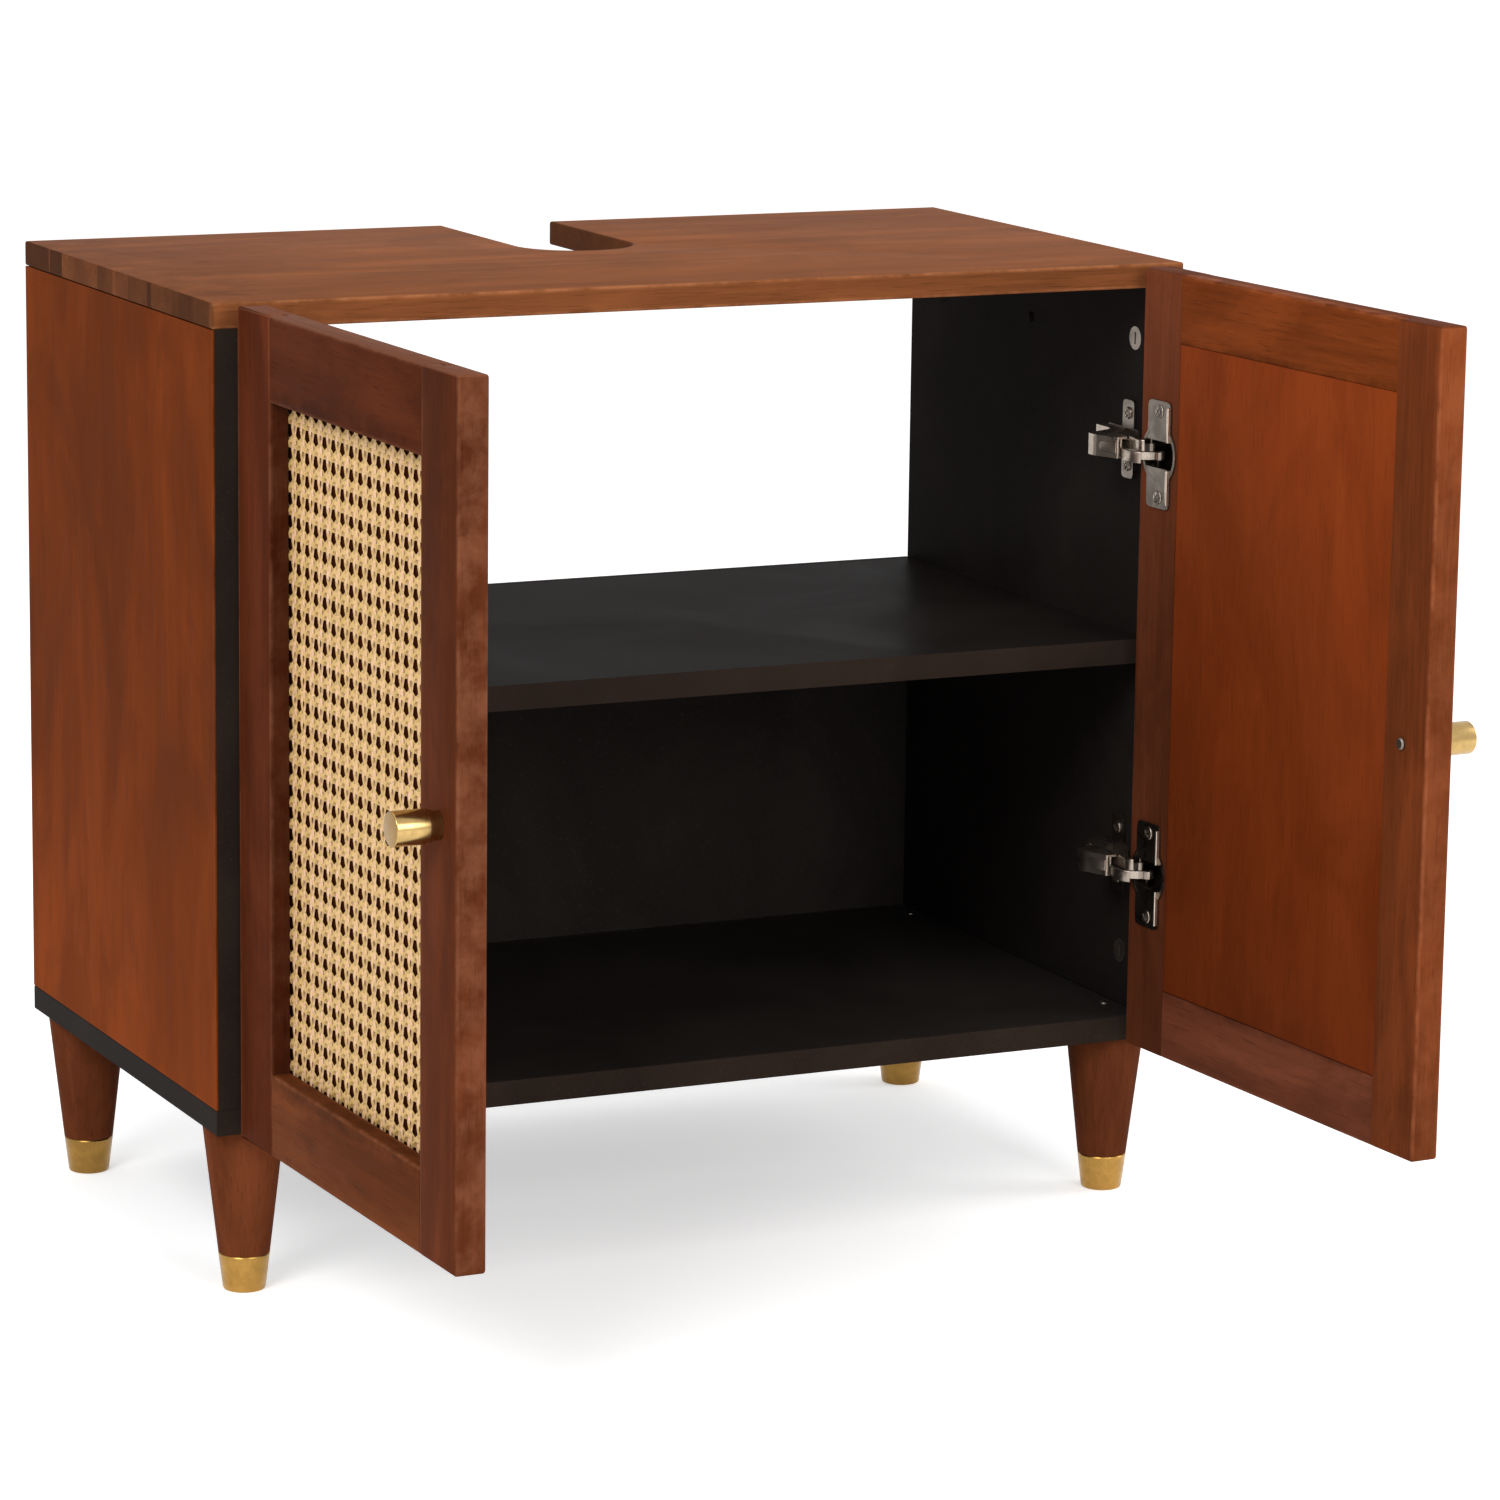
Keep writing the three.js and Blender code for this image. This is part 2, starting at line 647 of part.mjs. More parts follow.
// Arm: a sheet channel, open toward the side board and the front, cranked out to the link pins
function arm(hand, level) {
  const [pinA, pinB] = [outerLinkArmPin, innerLinkArmPin];
  const rear = -armRearInset;
  const bend = rear + armFlatLength;
  const front = pinB[1] + armEyeWall - armSheet;
  const outline = [
    [armFoot, rear, 0],
    [armTop, rear, 0],
    [armTop, bend, armBendRadius],
    [pinA[0] + armEyeWall, pinA[1] - armEyeWall, armBendRadius / 2],
    [pinA[0] + armEyeWall, pinA[1] + armEyeWall, armBendRadius / 2],
    [pinB[0] + armEyeWall, front, armSheet / 2],
    [pinB[0] - armEyeWall, front, armEyeWall / 2],
    [pinA[0] - armCheekWidth, pinA[1] - armEyeWall, armBendRadius / 2],
    [armFoot, bend + armEyeWall, armEyeWall],
  ];
  const inside = [
    [armFoot - overrun, rear + armSheet, 0],
    [armTop - armSheet, rear + armSheet, 0],
    [armTop - armSheet, bend + armSheet / 2, armBendRadius],
    [pinA[0] + armEyeWall - armSheet, pinA[1] - armEyeWall + armSheet / 2, armBendRadius / 2],
    [pinA[0] + armEyeWall - armSheet, pinA[1] + armEyeWall, 0],
    [pinB[0] + armEyeWall - armSheet, front, 0],
    [pinB[0] + armEyeWall - armSheet, front + overrun, 0],
    [armFoot - overrun, front + overrun, 0],
  ];
  const [low, high] = [level - armOuterHalf, level + armOuterHalf];
  const channel = planPlate(hand, inside, level - armInnerHalf, level + armInnerHalf);
  const shell = cut(planPlate(hand, outline, low, high), channel);
  const [pinLow, pinHigh] = [low + armSheet / 2, high - armSheet / 2];
  const pins = [pinA, pinB].map((pin) => uprightRod(hand, pin, linkPinRadius, pinLow, pinHigh));
  const heads = armScrewShares.map((share) => {
    const x = planX(hand, armTop + armScrewHeadHeight / 2 - armSheet / 4);
    const length = armScrewHeadHeight + armSheet / 2;
    return rod('x', armScrewHeadRadius, length, x, planY(rear + share * armFlatLength), level, holeSides);
  });
  return join(shell, ...pins, ...heads);
}

// Mounting plate: a cross with a raised spine under the arm and a screw in each wing
function mountingPlate(hand, level) {
  const [rear, front] = [-plateRearInset, -plateFrontInset].map(planY);
  const wing = planY(-plateWingInset);
  const [spine, reach] = [plateSpineWidth / 2, plateWingReach];
  const half = plateWingWidth / 2;
  const cross = softOutline([
    [rear, -spine, plateRound], [wing + half, -spine, 0], [wing + half, -reach, plateRound],
    [wing - half, -reach, plateRound], [wing - half, -spine, 0], [front, -spine, plateRound],
    [front, spine, plateRound], [wing - half, spine, 0], [wing - half, reach, plateRound],
    [wing + half, reach, plateRound], [wing + half, spine, 0], [rear, spine, plateRound],
  ]);
  const alongX = new THREE.Matrix4().makeBasis(
    new THREE.Vector3(0, 1, 0),
    new THREE.Vector3(0, 0, 1),
    new THREE.Vector3(1, 0, 0),
  );
  const base = extrude(cross, plateThickness).translate(0, 0, -plateThickness / 2).applyMatrix4(alongX);
  base.translate(planX(hand, glueGap + plateThickness / 2), 0, level);
  const ridgeTop = armTop - armSheet - glueGap;
  const ridgeHeight = ridgeTop - plateTop + plateThickness / 2;
  const ridgeLength = armFlatLength - 2 * armSheet;
  const ridge = board(ridgeHeight, ridgeLength, 2 * (armInnerHalf - linkSideGap), 0);
  const ridgeY = planY(-armRearInset + armSheet * 1.5 + ridgeLength / 2);
  ridge.translate(planX(hand, ridgeTop - ridgeHeight / 2), ridgeY, level);
  const screws = plateScrewOffsets.flatMap((offset) => {
    const headX = planX(hand, plateTop + plateScrewHeadHeight / 2 - plateThickness / 4);
    const headLength = plateScrewHeadHeight + plateThickness / 2;
    const shankLength = plateScrewLength + plateTop - plateThickness / 4;
    const shankX = planX(hand, plateTop - plateThickness / 4 - shankLength / 2);
    return [
      rod('x', plateScrewHeadRadius, headLength, headX, wing, level + offset, holeSides),
      rod('x', plateScrewRadius, shankLength, shankX, wing, level + offset),
    ];
  });
  return join(base, ridge, ...screws);
}

// A group that turns about an upright pin; its children stay in the cabinet's own coordinates
function pivot(parent, hand, [u, v], angle) {
  const centre = new THREE.Vector3(planX(hand, u), planY(v), 0);
  const turning = new THREE.Group();
  turning.position.copy(centre);
  turning.rotation.z = -hand * THREE.MathUtils.degToRad(angle);
  const frame = new THREE.Group();
  frame.position.copy(centre).negate();
  turning.add(frame);
  parent.add(turning);
  return frame;
}

// The outer links carry the door; the inner links turn on the arms beside them
function hingedDoor(side, hand, openAngle) {
  const outerLinks = pivot(cabinet, hand, outerLinkArmPin, outerLinkShare * openAngle);
  const innerLinks = pivot(cabinet, hand, innerLinkArmPin, innerLinkShare * openAngle);
  const door = pivot(outerLinks, hand, outerLinkCupPin, (1 - outerLinkShare) * openAngle);
  const pocketReach = 2 * (cupDepth + doorJointGap);
  const [cupX, cupY] = [planX(hand, cupCentre), planY(doorGap)];
  const pockets = Object.values(hingeLevels).map((level) => (
    rod('y', cupRadius, pocketReach, cupX, cupY, level, cupSides)
  ));
  addMesh(door, `${side}_door_hinge_stile`, cut(stile(hand, true), ...pockets), 'frameWood');
  const [holeRadius, holeReach] = [knobScrewRadius + screwClearance, 2 * (doorThickness + overrun)];
  const knobX = planX(hand, knobCentre);
  const screwHole = rod('y', holeRadius, holeReach, knobX, planY(outerFace), doorMiddle, holeSides);
  addMesh(door, `${side}_door_free_stile`, cut(stile(hand, false), screwHole), 'frameWood');
  addMesh(door, `${side}_door_top_rail`, rail(hand, doorTop, -1), 'frameWood');
  addMesh(door, `${side}_door_bottom_rail`, rail(hand, doorBottom, 1), 'frameWood');
  addMesh(door, `${side}_door_cane`, caneNet(hand), 'cane');
  addMesh(door, `${side}_door_backing`, backingPanel(hand), 'panelWood');
  addMesh(door, `${side}_knob`, knob(hand), 'brass');
  addMesh(door, `${side}_knob_screw`, knobScrew(hand), 'nickel');
  const slack = linkPinRadius + innerLinkSlack;
  for (const [name, level] of Object.entries(hingeLevels)) {
    addMesh(cabinet, `${side}_${name}_hinge_plate`, mountingPlate(hand, level), 'nickel');
    addMesh(cabinet, `${side}_${name}_hinge_arm`, arm(hand, level), 'nickel');
    const outer = [outerLinkArmPin, outerLinkHandles, outerLinkCupPin];
    const inner = [innerLinkArmPin, innerLinkHandles, innerLinkCupPin];
    const hole = linkPinRadius + linkPinClearance;
    addMesh(outerLinks, `${side}_${name}_outer_link`, link(hand, level, 1, ...outer, hole), 'nickel');
    addMesh(innerLinks, `${side}_${name}_inner_link`, link(hand, level, -1, ...inner, slack), 'nickel');
    addMesh(door, `${side}_${name}_hinge_cup`, cup(hand, level), 'nickel');
  }
}

topBoard();
bottomBoard();
shelfAndBack();
for (const [side, hand] of Object.entries(hands)) {
  sidePanel(side, hand);
  camFittings(side, hand);
  for (const [end, y] of Object.entries(legPlaces)) {
    leg(`${side}_${end}`, hand * (legInset - cabinetWidth / 2), y);
  }
}
hingedDoor('left', hands.left, leftDoorAngle);
hingedDoor('right', hands.right, rightDoorAngle);

export default cabinet;
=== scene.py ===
"""A small under-basin cabinet with cane doors: its finishes and fine surfaces.

Lengths are in metres, +Z is up and the doors open toward -Y. The frame's own pieces stay where they
are, and the new ones are made around them.
"""

import json
import math

import bmesh
import bpy
import numpy as np
from bpy.props import FloatProperty, FloatVectorProperty, PointerProperty
from mathutils import Matrix, Vector


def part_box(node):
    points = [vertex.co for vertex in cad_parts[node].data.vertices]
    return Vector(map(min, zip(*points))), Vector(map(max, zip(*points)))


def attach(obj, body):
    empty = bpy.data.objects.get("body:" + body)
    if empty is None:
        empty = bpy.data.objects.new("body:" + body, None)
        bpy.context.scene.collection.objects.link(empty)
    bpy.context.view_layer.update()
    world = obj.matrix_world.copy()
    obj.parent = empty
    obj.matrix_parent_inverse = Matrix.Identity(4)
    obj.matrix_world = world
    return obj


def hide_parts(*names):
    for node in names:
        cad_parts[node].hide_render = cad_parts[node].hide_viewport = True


bl_info = {
    "name": "Under-basin cabinet",
    "version": (1, 0, 0),
    "blender": (4, 5, 0),
    "location": "View3D > Sidebar > Cabinet",
    "description": "Builds the boards, cane doors, legs, hinges and fittings of a small cabinet",
    "category": "Object",
}

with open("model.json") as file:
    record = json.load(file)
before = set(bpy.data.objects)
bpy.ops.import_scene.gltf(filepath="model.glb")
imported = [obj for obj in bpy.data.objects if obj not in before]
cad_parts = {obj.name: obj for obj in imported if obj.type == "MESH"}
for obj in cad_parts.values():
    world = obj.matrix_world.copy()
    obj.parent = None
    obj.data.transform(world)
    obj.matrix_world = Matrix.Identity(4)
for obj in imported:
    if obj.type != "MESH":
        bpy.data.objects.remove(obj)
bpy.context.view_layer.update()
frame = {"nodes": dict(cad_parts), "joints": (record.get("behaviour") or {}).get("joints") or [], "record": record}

HANDS = {"left": 1, "right": -1}
LEVELS = ("lower", "upper")
CARCASS = "carcass"


def span(points):
    """Middle and half size of the points' box, as arrays."""
    low, high = points.min(0), points.max(0)
    return (low + high) / 2, (high - low) / 2


def middle_and_half(node):
    """Middle and half size of a node's box, as arrays."""
    return span(np.array(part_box(node)))


TOP_MIDDLE, TOP_HALF = middle_and_half("top_board")
SIDE_MIDDLE, SIDE_HALF = middle_and_half("right_side_panel")
INNER_HALF = float(SIDE_MIDDLE[0] - SIDE_HALF[0])
CARCASS_FRONT = float(TOP_MIDDLE[1] - TOP_HALF[1])
CABINET_TOP = float(TOP_MIDDLE[2] + TOP_HALF[2])
CABINET_HALF = float(TOP_HALF[0])
BOTTOM_UNDERSIDE = float(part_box("bottom_board")[0][2])
FLOOR_LEVEL = float(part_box("left_front_ferrule")[0][2])


def length(name, description, default):
    """Property that holds a length in metres."""
    return FloatProperty(
        name=name, description=description, default=default, min=0.0, unit="LENGTH", precision=5
    )


def colour(name, description, default):
    """Property that holds a linear colour."""
    return FloatVectorProperty(
        name=name, description=description, default=default, size=3, min=0.0, max=1.0, subtype="COLOR"
    )


class CABINET_PG_boards(bpy.types.PropertyGroup):
    """Sizes and stains of the top board and the side veneer."""

    notch_width: length("Notch width", "Width of the notch for the waste pipe", 0.074)
    notch_depth: length("Notch depth", "How far the notch reaches in from the wall", 0.157)
    top_arris: length("Top arris", "Radius of the top board's broken edges", 0.0014)
    # Paler and greyer than the side stain: partly painted sheen of the light on the top face
    top_stain: colour("Top stain", "Middle colour of the top board", (0.224, 0.073, 0.0248))
    side_stain: colour("Side stain", "Middle colour of the side veneer", (0.176, 0.034, 0.0036))
    black_face: colour("Black face", "Colour of the melamine inside", (0.0155, 0.0128, 0.0115))
    # Paler than the black face: partly the bands' own colour, partly painted light on the lit front edges
    band_face: colour("Edge band", "Colour of the edge bands", (0.0250, 0.0170, 0.0130))
    band_thickness: length("Band thickness", "Thickness of the edge bands", 0.0005)


class CABINET_PG_doors(bpy.types.PropertyGroup):
    """Sizes and stains of the framed doors."""

    gap: length("Gap", "Gap between the closed door and the carcass", 0.002)
    thickness: length("Thickness", "Thickness of the frame", 0.018)
    side_margin: length("Side margin", "Margin at the cabinet's side", 0.001)
    meeting_gap: length("Meeting gap", "Gap between the two doors", 0.002)
    end_margin: length("End margin", "Margin at the top and the bottom", 0.001)
    stile_width: length("Stile width", "Width of the upright frame pieces", 0.048)
    rail_height: length("Rail height", "Height of the level frame pieces", 0.048)
    rebate: length("Rebate", "Width and depth of the rebate that holds the cane", 0.007)
    arris: length("Arris", "Radius of the frame's broken edges", 0.0018)
    joint_gap: length("Joint gap", "Open line at each joint", 0.0003)
    cane_thickness: length("Cane thickness", "Thickness of the cane sheet", 0.0012)
    panel_thickness: length("Panel thickness", "Thickness of the backing panel", 0.0048)
    frame_stain: colour("Frame stain", "Middle colour of the frame", (0.102, 0.0235, 0.0080))
    panel_stain: colour("Panel stain", "Middle colour of the inner panel", (0.198, 0.036, 0.0076))


class CABINET_PG_cane(bpy.types.PropertyGroup):
    """Sizes and colours of the woven cane."""

    pitch: length("Pitch", "Distance between neighbouring holes", 0.0127)
    upright_width: length("Upright strand", "Width of an upright strand", 0.0032)
    upright_offset: length("Upright spread", "Distance of an upright strand from its pair's middle", 0.00152)
    level_width: length("Level strand", "Width of a level strand", 0.0028)
    level_offset: length("Level spread", "Distance of a level strand from its pair's middle", 0.00136)
    slanted_width: length("Slanted strand", "Width of a slanted strand", 0.0023)
    wander: length("Wander", "How far a strand wanders from its straight line", 0.00022)
    strand_thickness: length("Strand thickness", "Thickness of every strand", 0.0005)
    pale_skin: colour("Pale skin", "Colour of the palest strands", (0.86, 0.530, 0.360))
    warm_skin: colour("Warm skin", "Colour of the middle strands", (0.76, 0.480, 0.190))
    ripe_skin: colour("Ripe skin", "Colour of the ripest strands", (0.58, 0.375, 0.100))


class CABINET_PG_fittings(bpy.types.PropertyGroup):
    """Sizes and colours of the legs, knobs, hinges and fasteners."""

    leg_top_radius: length("Leg top radius", "Radius of a leg where it meets the cabinet", 0.024)
    leg_foot_radius: length("Leg foot radius", "Radius of a leg at the floor", 0.0125)
    ferrule_height: length("Ferrule height", "Height of the brass ferrule", 0.022)
    knob_radius: length("Knob radius", "Radius of a knob", 0.0095)
    knob_neck_radius: length("Knob neck radius", "Radius of a knob at the door", 0.008)
    knob_length: length("Knob length", "How far a knob stands out", 0.027)
    brass: colour("Brass", "Colour of the ferrules", (0.42, 0.235, 0.058))
    knob_brass: colour("Knob brass", "Colour of the knobs", (0.50, 0.335, 0.130))
    nickel: colour("Nickel", "Colour of the nickel plate", (0.42, 0.355, 0.295))
    leg_stain: colour("Leg stain", "Middle colour of the legs", (0.150, 0.040, 0.0145))


PROPERTY_GROUPS = {
    "cabinet_boards": CABINET_PG_boards,
    "cabinet_doors": CABINET_PG_doors,
    "cabinet_cane": CABINET_PG_cane,
    "cabinet_fittings": CABINET_PG_fittings,
}


# Surfaces

SAME_POINT = 1e-7
END_DRAW = 0.8
AXIS_ROLLS = {"z": 0, "x": 1, "y": 2}


def rounded_outline(corners, steps=4):
    """Closed outline whose corners (x, y, radius) are arcs.

    Each arc touches both sides of its corner. With a and b the radii to the two touching points and
    w the angle between them, its points are centre + (a sin((1 - t) w) + b sin(t w)) / sin w.
    """
    points = np.array([corner[:2] for corner in corners], float)
    radii = np.array([corner[2] for corner in corners], float)[:, None]
    back = np.roll(points, 1, axis=0) - points
    ahead = np.roll(points, -1, axis=0) - points
    back /= np.linalg.norm(back, axis=1, keepdims=True)
    ahead /= np.linalg.norm(ahead, axis=1, keepdims=True)
    half = np.arccos(np.clip((back * ahead).sum(1, keepdims=True), -1, 1)) / 2
    bisector = back + ahead
    bisector /= np.linalg.norm(bisector, axis=1, keepdims=True)
    centres = points + bisector * radii / np.sin(half)
    first = points + back * radii / np.tan(half) - centres
    last = points + ahead * radii / np.tan(half) - centres
    turn = (math.pi - 2 * half)[:, None]
    t = np.linspace(0, 1, steps + 1)[None, :, None]
    arcs = (first[:, None] * np.sin((1 - t) * turn) + last[:, None] * np.sin(t * turn)) / np.sin(turn)
    return tidy_outline((centres[:, None] + arcs).reshape(-1, 2))


def tidy_outline(points):
    """The outline without repeated points, running anticlockwise."""
    step = np.linalg.norm(points - np.roll(points, 1, axis=0), axis=1)
    points = points[step > SAME_POINT]
    x, y = points.T
    area = (x * np.roll(y, -1) - np.roll(x, -1) * y).sum()
    return points if area > 0 else points[::-1]


def inset(outline, distances):
    """The outline moved inward by each distance.

    For a distance of one, a point moves by (m + n) / (1 + m.n), where m and n are the inward normals
    of its two sides.
    """
    side = np.roll(outline, -1, axis=0) - outline
    side /= np.linalg.norm(side, axis=1, keepdims=True)
    after = np.stack([-side[:, 1], side[:, 0]], axis=1)
    before = np.roll(after, 1, axis=0)
    move = (before + after) / (1 + (before * after).sum(1, keepdims=True))
    return outline[None] + np.asarray(distances)[:, None, None] * move[None]


def grid_faces(rows, columns):
    """Four-cornered faces of a grid whose columns close on themselves."""
    row, column = np.meshgrid(np.arange(rows - 1), np.arange(columns), indexing="ij")
    here = row * columns + column
    beside = row * columns + (column + 1) % columns
    return np.stack([here, beside, beside + columns, here + columns], axis=-1).reshape(-1, 4)


def bar(outline, low, high, arris=0.0, axis="z", steps=3):
    """Solid bar: the outline carried from low to high along an axis.

    Its ends are drawn in along a quarter ellipse: at the angle t the outline is drawn in by
    END_DRAW arris (1 - sin t), at the depth arris (1 - cos t) below the end face.
    """
    t = np.linspace(0, math.pi / 2, steps + 1) if arris > 0 else np.array([math.pi / 2])
    drawn_in = END_DRAW * arris * (1 - np.sin(t))
    depth = arris * (1 - np.cos(t)) if arris > 0 else np.zeros(1)
    rings = inset(outline, np.concatenate([drawn_in, drawn_in[::-1]]))
    levels = np.concatenate([low + depth, high - depth[::-1]])
    count = len(outline)
    heights = np.repeat(levels[:, None], count, axis=1)[..., None]
    points = np.concatenate([rings, heights], axis=-1).reshape(-1, 3)
    points = np.roll(points, AXIS_ROLLS[axis], axis=1)
    last = (len(levels) - 1) * count
    faces = grid_faces(len(levels), count).tolist()
    faces.append(list(range(count))[::-1])
    faces.append(list(range(last, last + count)))
    return points, faces


def turned(profile, sides, centre, axis):
    """Turned solid: each profile point (radius r, height h) goes round the axis.

    Its points are centre + h axis + r (cos a across + sin a beyond). The profile starts and ends on
    the axis, and each end is one point.
    """
    profile = np.array(profile, float)
    along = Vector(axis).normalized()
    across = along.orthogonal().normalized()
    beyond = along.cross(across)
    angle = np.linspace(0, 2 * math.pi, sides, endpoint=False)
    circle = np.cos(angle)[:, None] * np.array(across) + np.sin(angle)[:, None] * np.array(beyond)
    rings = profile[1:-1, 0][:, None, None] * circle[None]
    rings = rings + profile[1:-1, 1][:, None, None] * np.array(along)
    ends = profile[[0, -1], 1][:, None] * np.array(along)
    points = np.concatenate([rings.reshape(-1, 3), ends]) + np.array(centre)
    count = len(profile) - 2
    start, end = count * sides, count * sides + 1
    here = np.arange(sides)
    beside = (here + 1) % sides
    faces = grid_faces(count, sides).tolist()
    faces += np.stack([np.full(sides, start), beside, here], axis=1).tolist()
    last = (count - 1) * sides
    faces += np.stack([np.full(sides, end), last + here, last + beside], axis=1).tolist()
    return points, faces


def joined(shapes):
    """Several shapes as one list of points and one list of faces."""
    points, faces, first = [], [], 0
    for shape_points, shape_faces in shapes:
        points.append(shape_points)
        faces += [[first + corner for corner in face] for face in shape_faces]
        first += len(shape_points)
    return np.concatenate(points), faces


def quarter_round(radius, level, size, steps=4):
    """Rounded outer corner of a turned profile: its centre + size (cos t, sin t), from 0 to 90 degrees."""
    t = np.linspace(0, math.pi / 2, steps + 1)
    return np.stack([radius - size + size * np.cos(t), level - size + size * np.sin(t)], axis=1).tolist()


def stepped(radius, level, steps):
    """Small steps of a turned profile, each given as (inset from the radius, rise from the level)."""
    return [(radius - inward, level + rise) for inward, rise in steps]


def rectangle(near, far, rounds=(0.0, 0.0), steps=4):
    """Outline of a rectangle between two corners; rounds are the radii at its near and far ends."""
    (x, y), (far_x, far_y) = near, far
    start, end = rounds
    return rounded_outline([(x, y, start), (far_x, y, end), (far_x, far_y, end), (x, far_y, start)], steps)


# Pieces

SHARP_ANGLE = math.radians(38)


def new_mesh(name, shape, smooth=True):
    """Mesh from points and faces, its faces turned outward; smooth or flat."""
    points, faces = shape
    mesh = bpy.data.meshes.new(name)
    mesh.from_pydata(np.asarray(points, float).tolist(), [], faces)
    work = bmesh.new()
    work.from_mesh(mesh)
    bmesh.ops.recalc_face_normals(work, faces=work.faces)
    work.to_mesh(mesh)
    work.free()
    if smooth:
        smooth_mesh(mesh)
    mesh.update()
    return mesh


def smooth_mesh(mesh):
    """Smooth shading, with the edges past SHARP_ANGLE kept hard."""
    mesh.shade_smooth()
    mesh.set_sharp_from_angle(angle=SHARP_ANGLE)


def new_object(name, mesh):
    """Object at the origin, in the scene."""
    made = bpy.data.objects.new(name, mesh)
    bpy.context.scene.collection.objects.link(made)
    return made


def add_piece(name, shape, material, body, replaced=(), holes=()):
    """A visible piece: its mesh, its finish, the body it rides on and the nodes it stands for."""
    made = new_object(name, new_mesh(name, shape))
    if holes:
        carve(made, holes)
    made.data.materials.clear()
    made.data.materials.append(material)
    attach(made, body)
    if replaced:
        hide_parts(*replaced)
    return made


def carve(piece, holes):
    """Takes the holes' shapes out of the piece, and keeps the result as its mesh."""
    cutters = [new_object(f"{piece.name}_hole", new_mesh("hole", hole, smooth=False)) for hole in holes]
    for cutter in cutters:
        modifier = piece.modifiers.new("Hole", "BOOLEAN")
        modifier.object = cutter
        modifier.solver = "EXACT"
    bpy.context.view_layer.update()
    graph = bpy.context.evaluated_depsgraph_get()
    carved = bpy.data.meshes.new_from_object(piece.evaluated_get(graph))
    piece.modifiers.clear()
    old = piece.data
    piece.data = carved
    carved.name = piece.name
    bpy.data.meshes.remove(old)
    smooth_mesh(carved)
    carved.update()
    for cutter in cutters:
        data = cutter.data
        bpy.data.objects.remove(cutter)
        bpy.data.meshes.remove(data)


def finish_nodes(material, names):
    """Gives the packed nodes with these names a finish."""
    for name in names:
        node = frame["nodes"][name]
        node.data.materials.clear()
        node.data.materials.append(material)


# Shader nodes

FLOAT = "NodeSocketFloat"
VECTOR = "NodeSocketVector"
ORIGIN = (0, 0, 0)


def add_node(tree, kind, inputs=None, **settings):
    """A shader node with its settings; an input is a value, or a socket that it is joined to."""
    made = tree.nodes.new(kind)
    for name, value in settings.items():
        setattr(made, name, value)
    for name, value in (inputs or {}).items():
        socket = made.inputs[name]
        if isinstance(value, bpy.types.NodeSocket):
            tree.links.new(value, socket)
        else:
            socket.default_value = value
    return made


def math_node(tree, operation, first, second):
    """A sum, product or the like of two numbers or sockets."""
    return add_node(tree, "ShaderNodeMath", {0: first, 1: second}, operation=operation).outputs[0]


def vector_math(tree, operation, first, second=ORIGIN, output="Vector"):
    """The same for two vectors; output is Vector or Value."""
    made = add_node(tree, "ShaderNodeVectorMath", {0: first, 1: second}, operation=operation)
    return made.outputs[output]


def split(tree, vector):
    """The X, Y and Z of a vector, as three sockets."""
    return add_node(tree, "ShaderNodeSeparateXYZ", {0: vector}).outputs


def remap(tree, value, low, high, to_low=0.0, to_high=1.0, smooth=False):
    """The value carried from one range to another and kept inside it."""
    inputs = {"Value": value, "From Min": low, "From Max": high, "To Min": to_low, "To Max": to_high}
    kind = "SMOOTHSTEP" if smooth else "LINEAR"
    return add_node(tree, "ShaderNodeMapRange", inputs, interpolation_type=kind).outputs["Result"]


def mix_colours(tree, share, first, second, blend="MIX"):
    """Blend of two colours; a colour is three numbers or a socket."""
    def ready(value):
        return value if isinstance(value, bpy.types.NodeSocket) else (*value, 1.0)

    inputs = {0: share, 6: ready(first), 7: ready(second)}
    made = add_node(tree, "ShaderNodeMix", inputs, data_type="RGBA", blend_type=blend)
    return made.outputs[2]


# Noises: scale, detail, roughness and distortion

NOISES = {
    "figure": (34, 4, 0.55, 1.1),
    "streaks": (330, 4, 0.62, 0.2),
    "blotches": (13, 5, 0.62, 0.8),
    "pores": (1100, 2, 0.5, 0.0),
    "wear": (70, 4, 0.6, 0.0),
    "stain": (38, 5, 0.65, 0.0),
    "pebbles": (1500, 2, 0.5, 0.0),
    "marks": (7, 5, 0.62, 0.8),
    "specks": (900, 1, 0.5, 0.0),
    "lines": (900, 3, 0.6, 0.0),
    "smudges": (90, 4, 0.6, 0.5),
    "pits": (1400, 1, 0.5, 0.0),
    "cane_patches": (120, 4, 0.6, 0.0),
    "cane_fibres": (1500, 3, 0.6, 0.0),
    "cane_specks": (620, 2, 0.5, 0.0),
}


def noise(tree, vector, kind, scale=None):
    """Value of one of the NOISES at the vector, between 0 and 1; a scale can stand in for its own."""
    values = dict(zip(("Scale", "Detail", "Roughness", "Distortion"), NOISES[kind]))
    if scale is not None:
        values["Scale"] = scale
    return add_node(tree, "ShaderNodeTexNoise", {"Vector": vector, **values}).outputs["Fac"]


def stretch(tree, vector, scale):
    """The vector times a scale for each axis; a small scale draws the pattern out along its axis."""
    return add_node(tree, "ShaderNodeMapping", {"Vector": vector, "Scale": scale}).outputs["Vector"]


def new_group(name, inputs):
    """Empty node group with these inputs and their defaults; gives the group and the inputs' sockets."""
    group = bpy.data.node_groups.new(name, "ShaderNodeTree")
    for socket_name, default in inputs.items():
        kind = VECTOR if isinstance(default, tuple) else FLOAT
        socket = group.interface.new_socket(socket_name, in_out="INPUT", socket_type=kind)
        socket.default_value = default
    return group, add_node(group, "NodeGroupInput").outputs


def close_group(group, outputs):
    """Gives the group its outputs, which are all numbers, and joins them to these sockets."""
    for name in outputs:
        group.interface.new_socket(name, in_out="OUTPUT", socket_type=FLOAT)
    add_node(group, "NodeGroupOutput", outputs)
    return group


GRAIN_STRETCHES = {"figure": 0.10, "streaks": 0.035, "blotches": 0.45, "pores": 0.045}
STAVES_IN_METRE = 34


